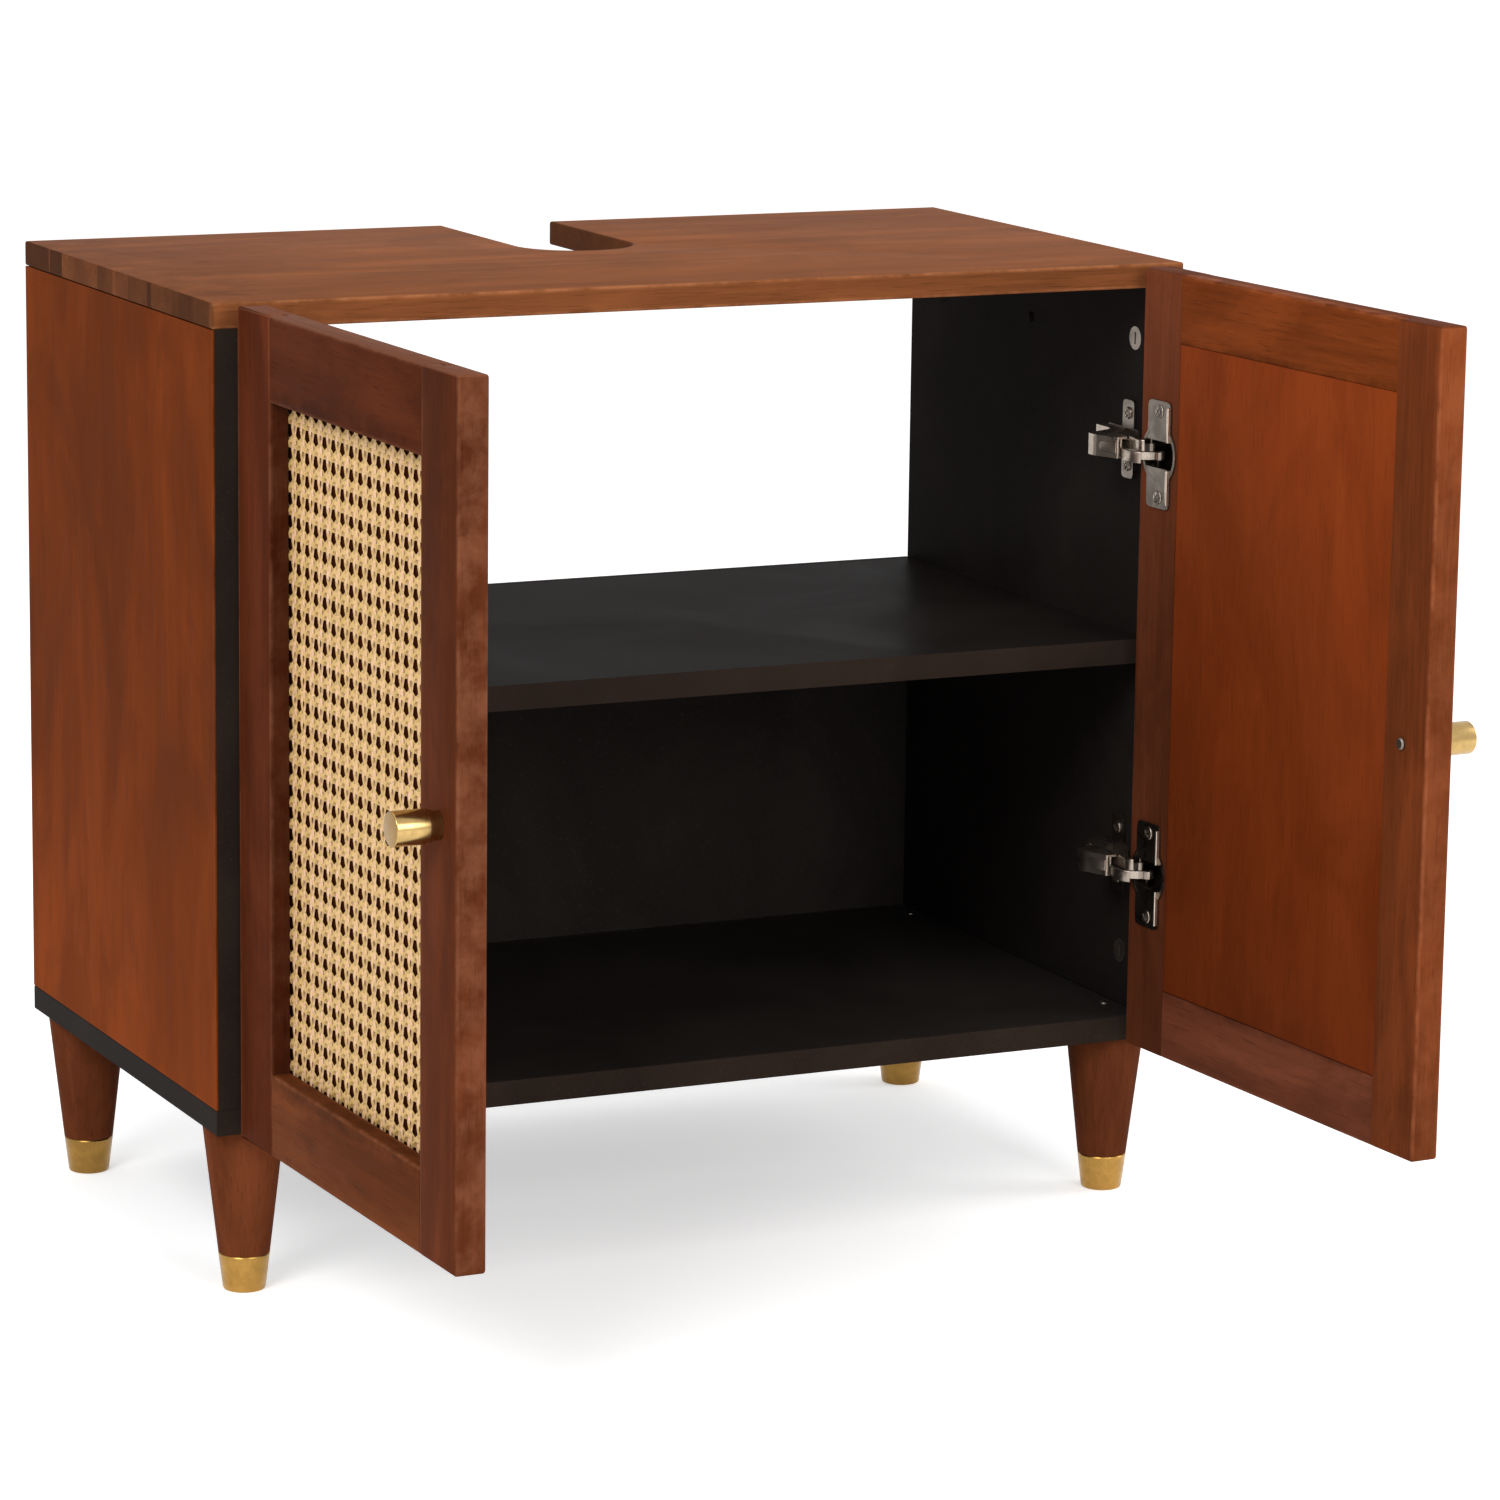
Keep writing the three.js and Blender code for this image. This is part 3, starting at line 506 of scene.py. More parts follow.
def wood_group():
    """Wood with its grain along Z: broad figure, fine streaks, stain blotches, staves and open pores."""
    group, start = new_group("Wood grain", {"Vector": ORIGIN, "Offset": ORIGIN})
    moved = vector_math(group, "ADD", start["Vector"], start["Offset"])
    figure, streaks, blotches, dashes = (
        noise(group, stretch(group, moved, (1, 1, along)), kind) for kind, along in GRAIN_STRETCHES.items()
    )
    across = stretch(group, moved, (0, 1, 0))
    cells = add_node(group, "ShaderNodeTexVoronoi", {"Vector": across, "Scale": STAVES_IN_METRE})
    staves = add_node(group, "ShaderNodeSeparateColor", {0: cells.outputs["Color"]}).outputs[0]
    pores = remap(group, dashes, 0.60, 0.72)
    return close_group(group, {
        "Figure": figure,
        "Streaks": streaks,
        "Blotches": blotches,
        "Staves": staves,
        "Pores": pores,
        "Height": math_node(group, "SUBTRACT", streaks, pores),
    })


def wear_group():
    """How worn a place is, from its distance to the nearest edge of the piece's box.

    The distances to the three pairs of faces are sorted, and the middle one is the distance to the
    nearest edge. Noise breaks the worn line up.
    """
    group, start = new_group("Edge wear", {"Vector": ORIGIN, "Half Size": (1, 1, 1), "Width": 0.003})
    inside = vector_math(group, "ABSOLUTE", start["Vector"])
    a, b, c = split(group, vector_math(group, "SUBTRACT", start["Half Size"], inside))
    smaller = math_node(group, "MINIMUM", a, b)
    larger = math_node(group, "MAXIMUM", a, b)
    edge = math_node(group, "MAXIMUM", smaller, math_node(group, "MINIMUM", larger, c))
    near = math_node(group, "DIVIDE", edge, start["Width"])
    line = remap(group, near, 0.25, 1.0, 1.0, 0.0, smooth=True)
    broken = remap(group, noise(group, start["Vector"], "wear"), 0.35, 0.62)
    return close_group(group, {"Mask": math_node(group, "MULTIPLY", line, broken)})


def face_group():
    """Where a place lies near one face of a piece: its distance along a direction against the reach."""
    group, start = new_group(
        "Near a face", {"Vector": ORIGIN, "Direction": (0, 0, 1), "Reach": 1.0, "Width": 0.001}
    )
    along = vector_math(group, "DOT_PRODUCT", start["Vector"], start["Direction"], "Value")
    inner = math_node(group, "SUBTRACT", start["Reach"], start["Width"])
    past = math_node(group, "SUBTRACT", along, inner)
    mask = remap(group, math_node(group, "DIVIDE", past, start["Width"]), 0.0, 0.8, smooth=True)
    patches = remap(group, noise(group, start["Vector"], "stain"), 0.40, 0.62)
    return close_group(group, {"Mask": mask, "Broken": math_node(group, "MULTIPLY", mask, patches)})


def speckle_group():
    """Fine pebbled face of a melamine board, with faint handling marks."""
    group, start = new_group("Pebbled face", {"Vector": ORIGIN})
    vector = start["Vector"]
    return close_group(group, {
        "Height": noise(group, vector, "pebbles"),
        "Marks": noise(group, vector, "marks"),
        "Specks": remap(group, noise(group, vector, "specks"), 0.68, 0.74),
    })


def metal_group():
    """Metal that was brushed round or along Z: fine lines, soft smudges and small pits."""
    group, start = new_group("Metal finish", {"Vector": ORIGIN, "Stretch": (1, 1, 1), "Scale": 900.0})
    drawn = vector_math(group, "MULTIPLY", start["Vector"], start["Stretch"])
    lines = noise(group, drawn, "lines", start["Scale"])
    smudges = noise(group, start["Vector"], "smudges")
    pits = remap(group, noise(group, start["Vector"], "pits"), 0.66, 0.76, 0.0, 0.5)
    height = math_node(group, "SUBTRACT", lines, pits)
    return close_group(group, {"Lines": lines, "Smudges": smudges, "Height": height})


GROUP_MAKERS = {
    "Wood grain": wood_group,
    "Edge wear": wear_group,
    "Near a face": face_group,
    "Pebbled face": speckle_group,
    "Metal finish": metal_group,
}


def use_group(tree, name, inputs):
    """One of the shared node groups, made the first time that it is used."""
    group = bpy.data.node_groups.get(name) or GROUP_MAKERS[name]()
    return add_node(tree, "ShaderNodeGroup", inputs, node_tree=group).outputs


def find_node(tree, kind):
    """The tree's only node of this kind."""
    return next(node for node in tree.nodes if node.type == kind)


def new_material(name):
    """Empty material with its own Principled shader; gives the material, its tree and the shader."""
    material = bpy.data.materials.new(name)
    material.use_nodes = True
    tree = material.node_tree
    tree.nodes.clear()
    shader = add_node(tree, "ShaderNodeBsdfPrincipled")
    end = add_node(tree, "ShaderNodeOutputMaterial")
    tree.links.new(shader.outputs[0], end.inputs["Surface"])
    return material, tree, shader


def set_finish(tree, shader, base, roughness, height, relief, metallic=0.0, specular=0.5):
    """Joins a colour, a roughness and a relief in metres to a material's shader."""
    inputs = {"Strength": 1.0, "Distance": relief, "Height": height}
    normal = add_node(tree, "ShaderNodeBump", inputs).outputs["Normal"]
    for name, socket in (("Base Color", base), ("Roughness", roughness), ("Normal", normal)):
        tree.links.new(socket, shader.inputs[name])
    shader.inputs["Metallic"].default_value = metallic
    shader.inputs["Specular IOR Level"].default_value = specular


def lay_over(material, share, tone):
    """Lays a colour over a finished material's own, by a share that changes over the surface."""
    tree = material.node_tree
    base = find_node(tree, "BSDF_PRINCIPLED").inputs["Base Color"]
    tree.links.new(mix_colours(tree, share, base.links[0].from_socket, tone), base)


def object_place(tree):
    """Object coordinates."""
    return add_node(tree, "ShaderNodeTexCoord").outputs["Object"]


def own_place(tree, turn, centre):
    """Object coordinates brought into a piece's own axes: turned, with the piece's middle at zero."""
    shift = -(turn @ Vector(centre))
    inputs = {"Vector": object_place(tree), "Location": shift, "Rotation": turn.to_euler("XYZ")}
    return add_node(tree, "ShaderNodeMapping", inputs).outputs["Vector"]


GRAIN_TURNS = {"z": Matrix.Identity(3), "x": Matrix.Rotation(math.pi / 2, 3, "Y")}


def shade_of(base, factor):
    """A colour times a factor, kept in range."""
    return tuple(min(1.0, channel * factor) for channel in base)


def blend_shades(tree, share, base, factors):
    """Blend between two shades of one colour."""
    return mix_colours(tree, share, *(shade_of(base, factor) for factor in factors))


# Strength of each effect in each kind of wood, and its shades as factors of the stain

LOOKS = {
    "board": dict(figure=1.0, streaks=0.24, blotches=0.60, staves=0.42, wear=0.45, pores=0.4),
    "veneer": dict(figure=0.62, streaks=0.09, blotches=0.68, staves=0.0, wear=0.15, pores=0.25),
    "panel": dict(figure=0.30, streaks=0.05, blotches=0.50, staves=0.0, wear=0.0, pores=0.18),
    "frame": dict(figure=0.85, streaks=0.17, blotches=0.80, staves=0.0, wear=0.32, pores=0.35),
}
FIGURE_SPREAD = 0.24
FIGURE_SHADES = (0.76, 1.20)
STAVE_SHADE = 0.62
BLOTCH_SHADE = 0.56
STREAK_SHADE = 1.75
PORE_SHADE = 0.35
# Tones of pale and dark faces; on some faces they are painted sheen and painted shade
DARK_FACE_SHADE = 0.16
PALE_FACE_SHADE = 1.9
PALE_FACE_ADDED = (0.05, 0.045, 0.03)
OFFSET_SHARES = (1.0, 1.7, 2.3)
WEAR_WIDTH = 0.0026
WEAR_CLEAR = 0.05
WOOD_RELIEF = 0.00016
WOOD_SPECULAR = 0.008


def wood_material(
    name, stain, centre, half, grain="z", turn=None, offset=0.0, look="frame", fade=None, pale=(), dark=()
):
    """Stained wood between a dark and a light shade, with blotches, pores and worn arrises.

    fade gives the shade at the low end, the middle and the high end of the grain. pale and dark name
    faces that are paler or darker, from thinner or pooled stain and, on some faces, painted sheen
    (pale) and painted shade (dark): (direction, width, strength, pattern), where the pattern is even,
    broken or staves.
    """
    material, tree, shader = new_material(name)
    strength = LOOKS[look]
    own_turn = GRAIN_TURNS[grain] @ (turn or Matrix.Identity(3))
    place = own_place(tree, own_turn, centre)
    size = [abs(value) for value in GRAIN_TURNS[grain] @ Vector(half)]
    offsets = tuple(offset * share for share in OFFSET_SHARES)
    out = use_group(tree, "Wood grain", {"Vector": place, "Offset": offsets})
    spread = FIGURE_SPREAD / strength["figure"]
    figure = remap(tree, out["Figure"], 0.5 - spread, 0.5 + spread, smooth=True)
    body = blend_shades(tree, figure, stain, FIGURE_SHADES)
    for share, factor in (
        (math_node(tree, "MULTIPLY", out["Staves"], strength["staves"]), STAVE_SHADE),
        (remap(tree, out["Blotches"], 0.38, 0.64, 0.0, strength["blotches"], smooth=True), BLOTCH_SHADE),
        (remap(tree, out["Streaks"], 0.42, 0.72, 0.0, strength["streaks"]), STREAK_SHADE),
        (math_node(tree, "MULTIPLY", out["Pores"], strength["pores"]), PORE_SHADE),
    ):
        body = mix_colours(tree, share, body, shade_of(stain, factor))
    if fade:
        body = faded(tree, body, place, size[2], fade)
    thin_stain_and_sheen = tuple(min(1.0, PALE_FACE_SHADE * channel + added) for channel, added in zip(stain, PALE_FACE_ADDED))
    gathered_stain_and_shade = shade_of(stain, DARK_FACE_SHADE)
    # Pale faces: thinner stain and wear, and on some faces painted sheen; dark faces: pooled stain, and on some
    # painted shade
    for faces, tone in ((pale, thin_stain_and_sheen), (dark, gathered_stain_and_shade)):
        for direction, width, amount, pattern in faces:
            own = GRAIN_TURNS[grain] @ Vector(direction)
            reach = sum(abs(a) * b for a, b in zip(own, size))
            inputs = {"Vector": place, "Direction": own, "Reach": reach, "Width": width}
            near = use_group(tree, "Near a face", inputs)["Broken" if pattern == "broken" else "Mask"]
            if pattern == "staves":
                near = math_node(tree, "MULTIPLY", near, remap(tree, out["Staves"], 0.2, 0.8))
            body = mix_colours(tree, math_node(tree, "MULTIPLY", near, amount), body, tone)
    padded = (size[0], size[1], size[2] + WEAR_CLEAR)
    inputs = {"Vector": place, "Half Size": padded, "Width": WEAR_WIDTH}
    worn = math_node(tree, "MULTIPLY", use_group(tree, "Edge wear", inputs)["Mask"], strength["wear"])
    body = mix_colours(tree, worn, body, thin_stain_and_sheen)
    roughness = remap(tree, out["Streaks"], 0.3, 0.7, 0.46, 0.60)
    set_finish(tree, shader, body, roughness, out["Height"], WOOD_RELIEF, specular=WOOD_SPECULAR)
    return material


def faded(tree, body, place, reach, fade):
    """The colour times a shade that runs from the low end of the grain over its middle to the high end."""
    height = split(tree, place)["Z"]
    low, middle, high = ((factor,) * 3 for factor in fade)
    shade = mix_colours(tree, remap(tree, height, -reach, 0.0), low, middle)
    shade = mix_colours(tree, remap(tree, height, 0.0, reach), shade, high)
    return mix_colours(tree, 1.0, body, shade, "MULTIPLY")


BLACK_SHADES = (0.85, 1.35)
SPECK_SHADE = 4.0
SPECK_SHARE = 0.25
BLACK_RELIEF = 0.00006
BLACK_SPECULAR = 0.003


def black_material(name, base):
    """Matt black face with a fine pebble, faint marks and paler specks."""
    material, tree, shader = new_material(name)
    face = use_group(tree, "Pebbled face", {"Vector": object_place(tree)})
    body = blend_shades(tree, remap(tree, face["Marks"], 0.35, 0.7), base, BLACK_SHADES)
    specks = math_node(tree, "MULTIPLY", face["Specks"], SPECK_SHARE)
    body = mix_colours(tree, specks, body, shade_of(base, SPECK_SHADE))
    roughness = remap(tree, face["Marks"], 0.3, 0.7, 0.36, 0.48)
    set_finish(tree, shader, body, roughness, face["Height"], BLACK_RELIEF, specular=BLACK_SPECULAR)
    return material


# Metals: shade of the base colour, roughness from and to, the lines' stretch and scale, and relief

METALS = {
    "front_ferrule_brass": (1.0, 0.24, 0.38, (1, 1, 14), 420.0, 0.00001),
    # The rear ferrules' darker brass is painted shade
    "rear_ferrule_brass": (0.72, 0.24, 0.38, (1, 1, 14), 420.0, 0.00001),
    "knob_brass": (1.0, 0.18, 0.32, (14, 1, 14), 500.0, 0.00001),
    "nickel_plate": (1.0, 0.24, 0.40, (1, 1, 1), 700.0, 0.00001),
    # Lighter copy of the nickel for the cups' lips: a painted highlight
    "painted_highlight_nickel": (1.7, 0.24, 0.40, (1, 1, 1), 700.0, 0.00001),
    # Darker copy of the nickel for the cups: painted shade and painted reflection of the wood
    "shaded_cup_nickel": (0.42, 0.24, 0.40, (1, 1, 1), 700.0, 0.00001),
    # Rougher, darker copy of the nickel for the plates and screws inside the cabinet; its darker colour is painted
    # shade
    "dull_shaded_nickel": (0.50, 0.30, 0.46, (1, 1, 1), 700.0, 0.00002),
    "zinc_casting": (0.62, 0.40, 0.55, (1, 1, 1), 500.0, 0.00003),
}
METAL_SHADES = (1.06, 0.80)
LINE_SHADE = 1.25


def metal_material(metal, base, prefix=""):
    """Metal with brushed lines and smudges, by its row of METALS."""
    factor, low, high, lines, scale, relief = METALS[metal]
    base = shade_of(base, factor)
    material, tree, shader = new_material(f"{prefix}{metal}")
    inputs = {"Vector": object_place(tree), "Stretch": lines, "Scale": scale}
    finish = use_group(tree, "Metal finish", inputs)
    smudges = remap(tree, finish["Smudges"], 0.38, 0.66)
    body = blend_shades(tree, smudges, base, METAL_SHADES)
    drawn = remap(tree, finish["Lines"], 0.4, 0.7, 0.0, 0.25)
    body = mix_colours(tree, drawn, body, shade_of(base, LINE_SHADE))
    blend = math_node(tree, "ADD", math_node(tree, "MULTIPLY", smudges, 0.6), finish["Lines"])
    roughness = remap(tree, blend, 0.35, 1.15, low, high)
    set_finish(tree, shader, body, roughness, finish["Height"], relief, metallic=1.0)
    return material


# Doors are drawn closed, placed by u in from the side board's inner face and v forward of the
# carcass front, and then swung to where they rest.

DOOR_PIN = (-0.0047, 0.004)


def link_ratios(side):
    """How far each link turns for one degree of its door's joint."""
    couplings = frame["record"]["behaviour"]["couplings"]
    follows = {entry["joint"]: entry["ratio"] for entry in couplings}
    return {link: follows[f"{side}_{link}_link_turn"] for link in ("outer", "inner")}


def door_swing(side):
    """Angle that the door stands open at rest, and where its pin is then."""
    joints = {joint["name"]: joint for joint in frame["joints"]}
    swing = joints[f"{side}_door_swing"]
    opened = -swing["range_deg"][0] * (1 + link_ratios(side)["outer"])
    return math.radians(opened), np.array(swing["pos_m"][:2])


def link_turn(side, link):
    """Angle that a link has turned from closed to rest, against its door."""
    ratios = link_ratios(side)
    return -door_swing(side)[0] * ratios[link] / (1 + ratios["outer"])


def plan(hand, u, v):
    """X and Y of a place on a closed door."""
    return np.array([hand * (u - INNER_HALF), CARCASS_FRONT - v])


def turn_about(points, start, angle, end):
    """Points turned about Z and carried along: p' = end + R (p - start)."""
    cosine, sine = math.cos(angle), math.sin(angle)
    offset = np.asarray(points, float)[:, :2] - start
    x = cosine * offset[:, 0] - sine * offset[:, 1] + end[0]
    y = sine * offset[:, 0] + cosine * offset[:, 1] + end[1]
    return np.stack([x, y, np.asarray(points)[:, 2]], axis=1)


def swung(points, side):
    """Points of the closed door where the door rests."""
    hand = HANDS[side]
    angle, pin = door_swing(side)
    return turn_about(points, plan(hand, *DOOR_PIN), -hand * angle, pin)


def swing_shape(shape, side):
    """A shape of the closed door where the door rests."""
    return swung(shape[0], side), shape[1]


def door_turn(side):
    """The turn that brings a resting door back to closed, for its patterns."""
    return Matrix.Rotation(HANDS[side] * door_swing(side)[0], 3, "Z")


class DoorPlan:
    """Places of one door's parts, worked out from the door sizes."""

    def __init__(self, sizes):
        """Levels run along Z, widths along u and depths along v."""
        self.sizes = sizes
        self.bottom = BOTTOM_UNDERSIDE + sizes.end_margin
        self.top = CABINET_TOP - sizes.end_margin
        self.middle = (self.bottom + self.top) / 2
        self.width = CABINET_HALF - sizes.side_margin - sizes.meeting_gap / 2
        self.edge = INNER_HALF - CABINET_HALF + sizes.side_margin
        self.centre = self.edge + self.width / 2
        self.back = sizes.gap
        self.front = sizes.gap + sizes.thickness
        self.rebate_floor = sizes.gap + sizes.rebate
        self.opening_width = self.width - 2 * sizes.stile_width
        self.opening_height = self.top - self.bottom - 2 * sizes.rail_height
        self.panel_width = self.opening_width + 2 * sizes.rebate - 2 * sizes.joint_gap
        self.panel_height = self.opening_height + 2 * sizes.rebate - 2 * sizes.joint_gap
        self.cane_middle = self.rebate_floor - sizes.joint_gap - sizes.cane_thickness / 2
        self.panel_front = self.rebate_floor - 2 * sizes.joint_gap - sizes.cane_thickness


CUP_EDGE_DISTANCE = 0.0225
CUP_RADIUS = 0.0175
CUP_DEPTH = 0.0115
POCKET_CLEARANCE = 0.0003
POCKET_OVERRUN = 0.004
HINGE_END_DISTANCE = 0.110
HOLE_SIDES = 48
INNER_ARRIS_SHARE = 0.6
HINGE_ARRIS_SHARE = 0.16
RAIL_END_ARRIS = 0.0002
RAIL_END_GAP_SHARE = 1 / 6
PANEL_ARRIS = 0.0005


def hinge_levels(door):
    """Heights of a door's two hinges."""
    return door.bottom + HINGE_END_DISTANCE, door.top - HINGE_END_DISTANCE


def stile_shape(door, hand, from_hinge):
    """Upright of the frame: an L section, rebated at the back of its inner edge, carried along Z."""
    sizes = door.sizes
    section = [
        (0, door.back, sizes.arris),
        (sizes.stile_width - sizes.rebate, door.back, 0),
        (sizes.stile_width - sizes.rebate, door.rebate_floor, 0),
        (sizes.stile_width, door.rebate_floor, 0),
        (sizes.stile_width, door.front, sizes.arris * INNER_ARRIS_SHARE),
        (0, door.front, sizes.arris * (HINGE_ARRIS_SHARE if from_hinge else 1)),
    ]
    corners = []
    for across, v, radius in section:
        u = door.edge + across if from_hinge else door.edge + door.width - across
        corners.append((*plan(hand, u, v), radius))
    return bar(rounded_outline(corners), door.bottom, door.top, sizes.arris)


def rail_shapes(door, hand, outer_level, inward):
    """Level piece of the frame: its face between the stiles, and its back half lapped behind them."""
    sizes = door.sizes
    inner_level = outer_level + inward * sizes.rail_height
    rebate_level = inner_level - inward * sizes.rebate
    half_face = door.opening_width / 2 - sizes.joint_gap * RAIL_END_GAP_SHARE
    half_lap = door.panel_width / 2
    lap_front = door.rebate_floor - sizes.joint_gap
    middle = plan(hand, door.centre, 0)[0]
    face = [
        (lap_front, outer_level, 0),
        (lap_front, rebate_level, 0),
        (door.rebate_floor, rebate_level, 0),
        (door.rebate_floor, inner_level, 0),
        (door.front, inner_level, sizes.arris * INNER_ARRIS_SHARE),
        (door.front, outer_level, sizes.arris),
    ]
    lap = [
        (door.back, outer_level, sizes.arris),
        (door.back, rebate_level, 0),
        (lap_front, rebate_level, 0),
        (lap_front, outer_level, 0),
    ]
    return [
        bar(
            rounded_outline([(CARCASS_FRONT - v, z, radius) for v, z, radius in section]),
            middle - half, middle + half, RAIL_END_ARRIS, "x",
        )
        for section, half in ((face, half_face), (lap, half_lap))
    ]


# Each frame piece's own stain and fade, as factors, and where in the grain's pattern it is cut from

PIECE_SHADES = {
    ("left", "hinge_stile"): (0.98, 0.94, 0.95),
    ("left", "free_stile"): (1.05, 1.12, 1.15),
    ("left", "top_rail"): (0.84, 0.86, 0.88),
    ("left", "bottom_rail"): (1.45, 1.75, 1.65),
    ("right", "hinge_stile"): (1.22, 1.42, 1.7),
    ("right", "free_stile"): (1.80, 1.85, 1.6),
    ("right", "top_rail"): (2.3, 2.2, 1.4),
    ("right", "bottom_rail"): (1.60, 2.00, 2.8),
}

PIECE_FADES = {
    ("left", "free_stile"): (1.28, 1.05, 0.84),
    ("right", "hinge_stile"): (1.0, 0.9, 1.55),
    ("right", "free_stile"): (0.86, 1.0, 1.12),
}

PATTERN_MIDDLE = 0.9
PATTERN_SIDE_STEP = 0.37
PATTERN_OFFSETS = {
    "hinge_stile": 0.0, "free_stile": 0.21, "top_rail": 0.3, "bottom_rail": 0.5, "backing": 0.7,
}


def pattern_offset(side, part):
    """Where in the grain's pattern a piece of one door is cut from."""
    return PATTERN_MIDDLE + PATTERN_SIDE_STEP * HANDS[side] + PATTERN_OFFSETS[part]


def add_frame_piece(side, part, shapes, holes=(), grain="z", pale=(), dark=()):
    """One piece of a door's frame, swung to rest, with wood that runs along it."""
    doors = bpy.context.scene.cabinet_doors
    centre, half = span(shapes[0][0])
    rest_centre = swung(centre[None], side)[0]
    name = f"{side}_door_{part}"
    stain = tuple(a * b for a, b in zip(doors.frame_stain, PIECE_SHADES[side, part]))
    material = wood_material(
        f"{name}_wood", stain, rest_centre, half, grain, door_turn(side), pattern_offset(side, part),
        "frame", PIECE_FADES.get((side, part)), pale, dark,
    )
    whole = swing_shape(joined(shapes), side)
    swung_holes = [swing_shape(hole, side) for hole in holes]
    add_piece(f"{name}_piece", whole, material, f"{side}_door", [name], holes=swung_holes)


def cup_pockets(door, hand):
    """Pockets for the hinge cups in the hinge stile, as turned shapes."""
    x, y = plan(hand, door.edge + CUP_EDGE_DISTANCE, door.back)
    floor = CUP_DEPTH + POCKET_CLEARANCE
    profile = [(0, -POCKET_OVERRUN), (CUP_RADIUS, -POCKET_OVERRUN), (CUP_RADIUS, floor), (0, floor)]
    return [turned(profile, HOLE_SIDES, (x, y, level), (0, -1, 0)) for level in hinge_levels(door)]


# Boards: stain on their edges, where each is cut from in the grain's pattern, and their edge bands

EDGE_WIDTH = 0.0012
TOP_END_STAINS = ((0.25, "even"), (0.80, "staves"))
TOP_LEFT_STAIN = ((-1, 0, 0), 0.10, 0.28, "broken")
TOP_PATTERN = 0.31
VENEER_PATTERNS = {"left": 0.73, "right": 0.33}
NOTCH_STEPS = 33
NOTCH_STAIN_SPAN = (0.0004, 0.0014)
NOTCH_STAIN = 0.62
VENEER_FADE = (1.34, 0.86, 0.98)
# Black boards and the factor on their colour: the bottom and the back are lighter copies of the same melamine, as
# painted light
BLACK_BOARDS = {
    "black_melamine": (1.0, ("shelf", "left_side_panel", "right_side_panel")),
    "lit_bottom_melamine": (1.45, ("bottom_board",)),
    "lit_back_melamine": (1.8, ("back_panel",)),
}
BAND_SINK = 0.0001
BAND_ARRIS = 0.00012
BAND_RISE = 0.0007
SHELF_END_GAP = 0.0003


class CABINET_OT_boards(bpy.types.Operator):
    """Builds the top board, and finishes the black boards and the side veneer"""

    bl_idname = "cabinet.boards"
    bl_label = "Boards"

    def execute(self, context):
        boards = context.scene.cabinet_boards
        self.add_top(boards)
        for side in HANDS:
            node = f"{side}_side_skin"
            centre, half = middle_and_half(node)
            veneer = wood_material(
                f"{side}_side_veneer", tuple(boards.side_stain), centre, half,
                offset=VENEER_PATTERNS[side], look="veneer", fade=VENEER_FADE,
            )
            finish_nodes(veneer, [node])
        for name, (factor, nodes) in BLACK_BOARDS.items():
            finish_nodes(black_material(name, shade_of(boards.black_face, factor)), nodes)
        self.add_bands(boards)
        return {"FINISHED"}

    def add_top(self, boards):
        """Top board: a rectangle with a notch, whose end is half a circle, carried through its thickness."""
        x, front = CABINET_HALF, CARCASS_FRONT
        notch, depth = boards.notch_width / 2, boards.notch_depth
        angle = np.linspace(0, math.pi, NOTCH_STEPS)
        bend = np.stack([notch * np.cos(angle), notch - depth - notch * np.sin(angle)], axis=1)
        outline = tidy_outline(np.concatenate([
            [[-x, front], [x, front], [x, 0], [notch, 0]],
            bend,
            [[-notch, 0], [-x, 0]],
        ]))
        low, high = (float(corner[2]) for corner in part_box("top_board"))
        shape = bar(outline, low, high, boards.top_arris, steps=4)
        ends = [
            ((sign, 0, 0), EDGE_WIDTH, amount, pattern)
            for sign in (-1, 1) for amount, pattern in TOP_END_STAINS
        ]
        ends.append(TOP_LEFT_STAIN)
        stain = tuple(boards.top_stain)
        top_wood = wood_material(
            "top_wood", stain, TOP_MIDDLE, TOP_HALF, "x", offset=TOP_PATTERN, look="board", dark=ends
        )
        self.darken_notch(top_wood, stain, notch, depth)
        add_piece("top_board_piece", shape, top_wood, CARCASS, ["top_board"])

    def darken_notch(self, material, stain, notch, depth):
        """Gathered stain on the notch's walls.

        The distance to the middle line of the notch is sqrt(x^2 + min(0, y + depth - notch)^2), and it
        equals the notch's half width on its walls.
        """
        tree = material.node_tree
        x, y, _ = split(tree, object_place(tree))
        past = math_node(tree, "MINIMUM", math_node(tree, "ADD", y, depth - notch), 0.0)
        offset = add_node(tree, "ShaderNodeCombineXYZ", {0: x, 1: past}).outputs[0]
        distance = vector_math(tree, "LENGTH", offset, output="Value")
        wall, away = (notch + reach for reach in NOTCH_STAIN_SPAN)
        near = remap(tree, distance, wall, away, NOTCH_STAIN, 0.0)
        lay_over(material, near, shade_of(stain, DARK_FACE_SHADE))

    def add_bands(self, boards):
        """Edge bands on the fronts of the sides, the shelf and the bottom board, sunk a little into them; their
        paler colour is partly painted light.
        """
        finish = black_material("edge_band", tuple(boards.band_face))
        out = boards.band_thickness
        for side in HANDS:
            low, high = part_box(f"{side}_side_panel")
            section = band_section(low[1], low[0], high[0], out)
            shape = bar(tidy_outline(section[:, ::-1]), low[2], high[2] + BAND_RISE)
            add_piece(f"{side}_side_band", shape, finish, CARCASS)
        bottom_half = float(middle_and_half("bottom_board")[1][0])
        for name, node, reach in (
            ("bottom_band", "bottom_board", bottom_half),
            ("shelf_band", "shelf", INNER_HALF - SHELF_END_GAP),
        ):
            low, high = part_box(node)
            shape = bar(band_section(low[1], low[2], high[2], out), -reach, reach, axis="x")
            add_piece(name, shape, finish, CARCASS)


def band_section(front, low, high, out):
    """Outline of an edge band: out forward of the board's front, and across from low to high."""
    return rectangle((front + BAND_SINK, low), (front - out, high), (0, BAND_ARRIS))


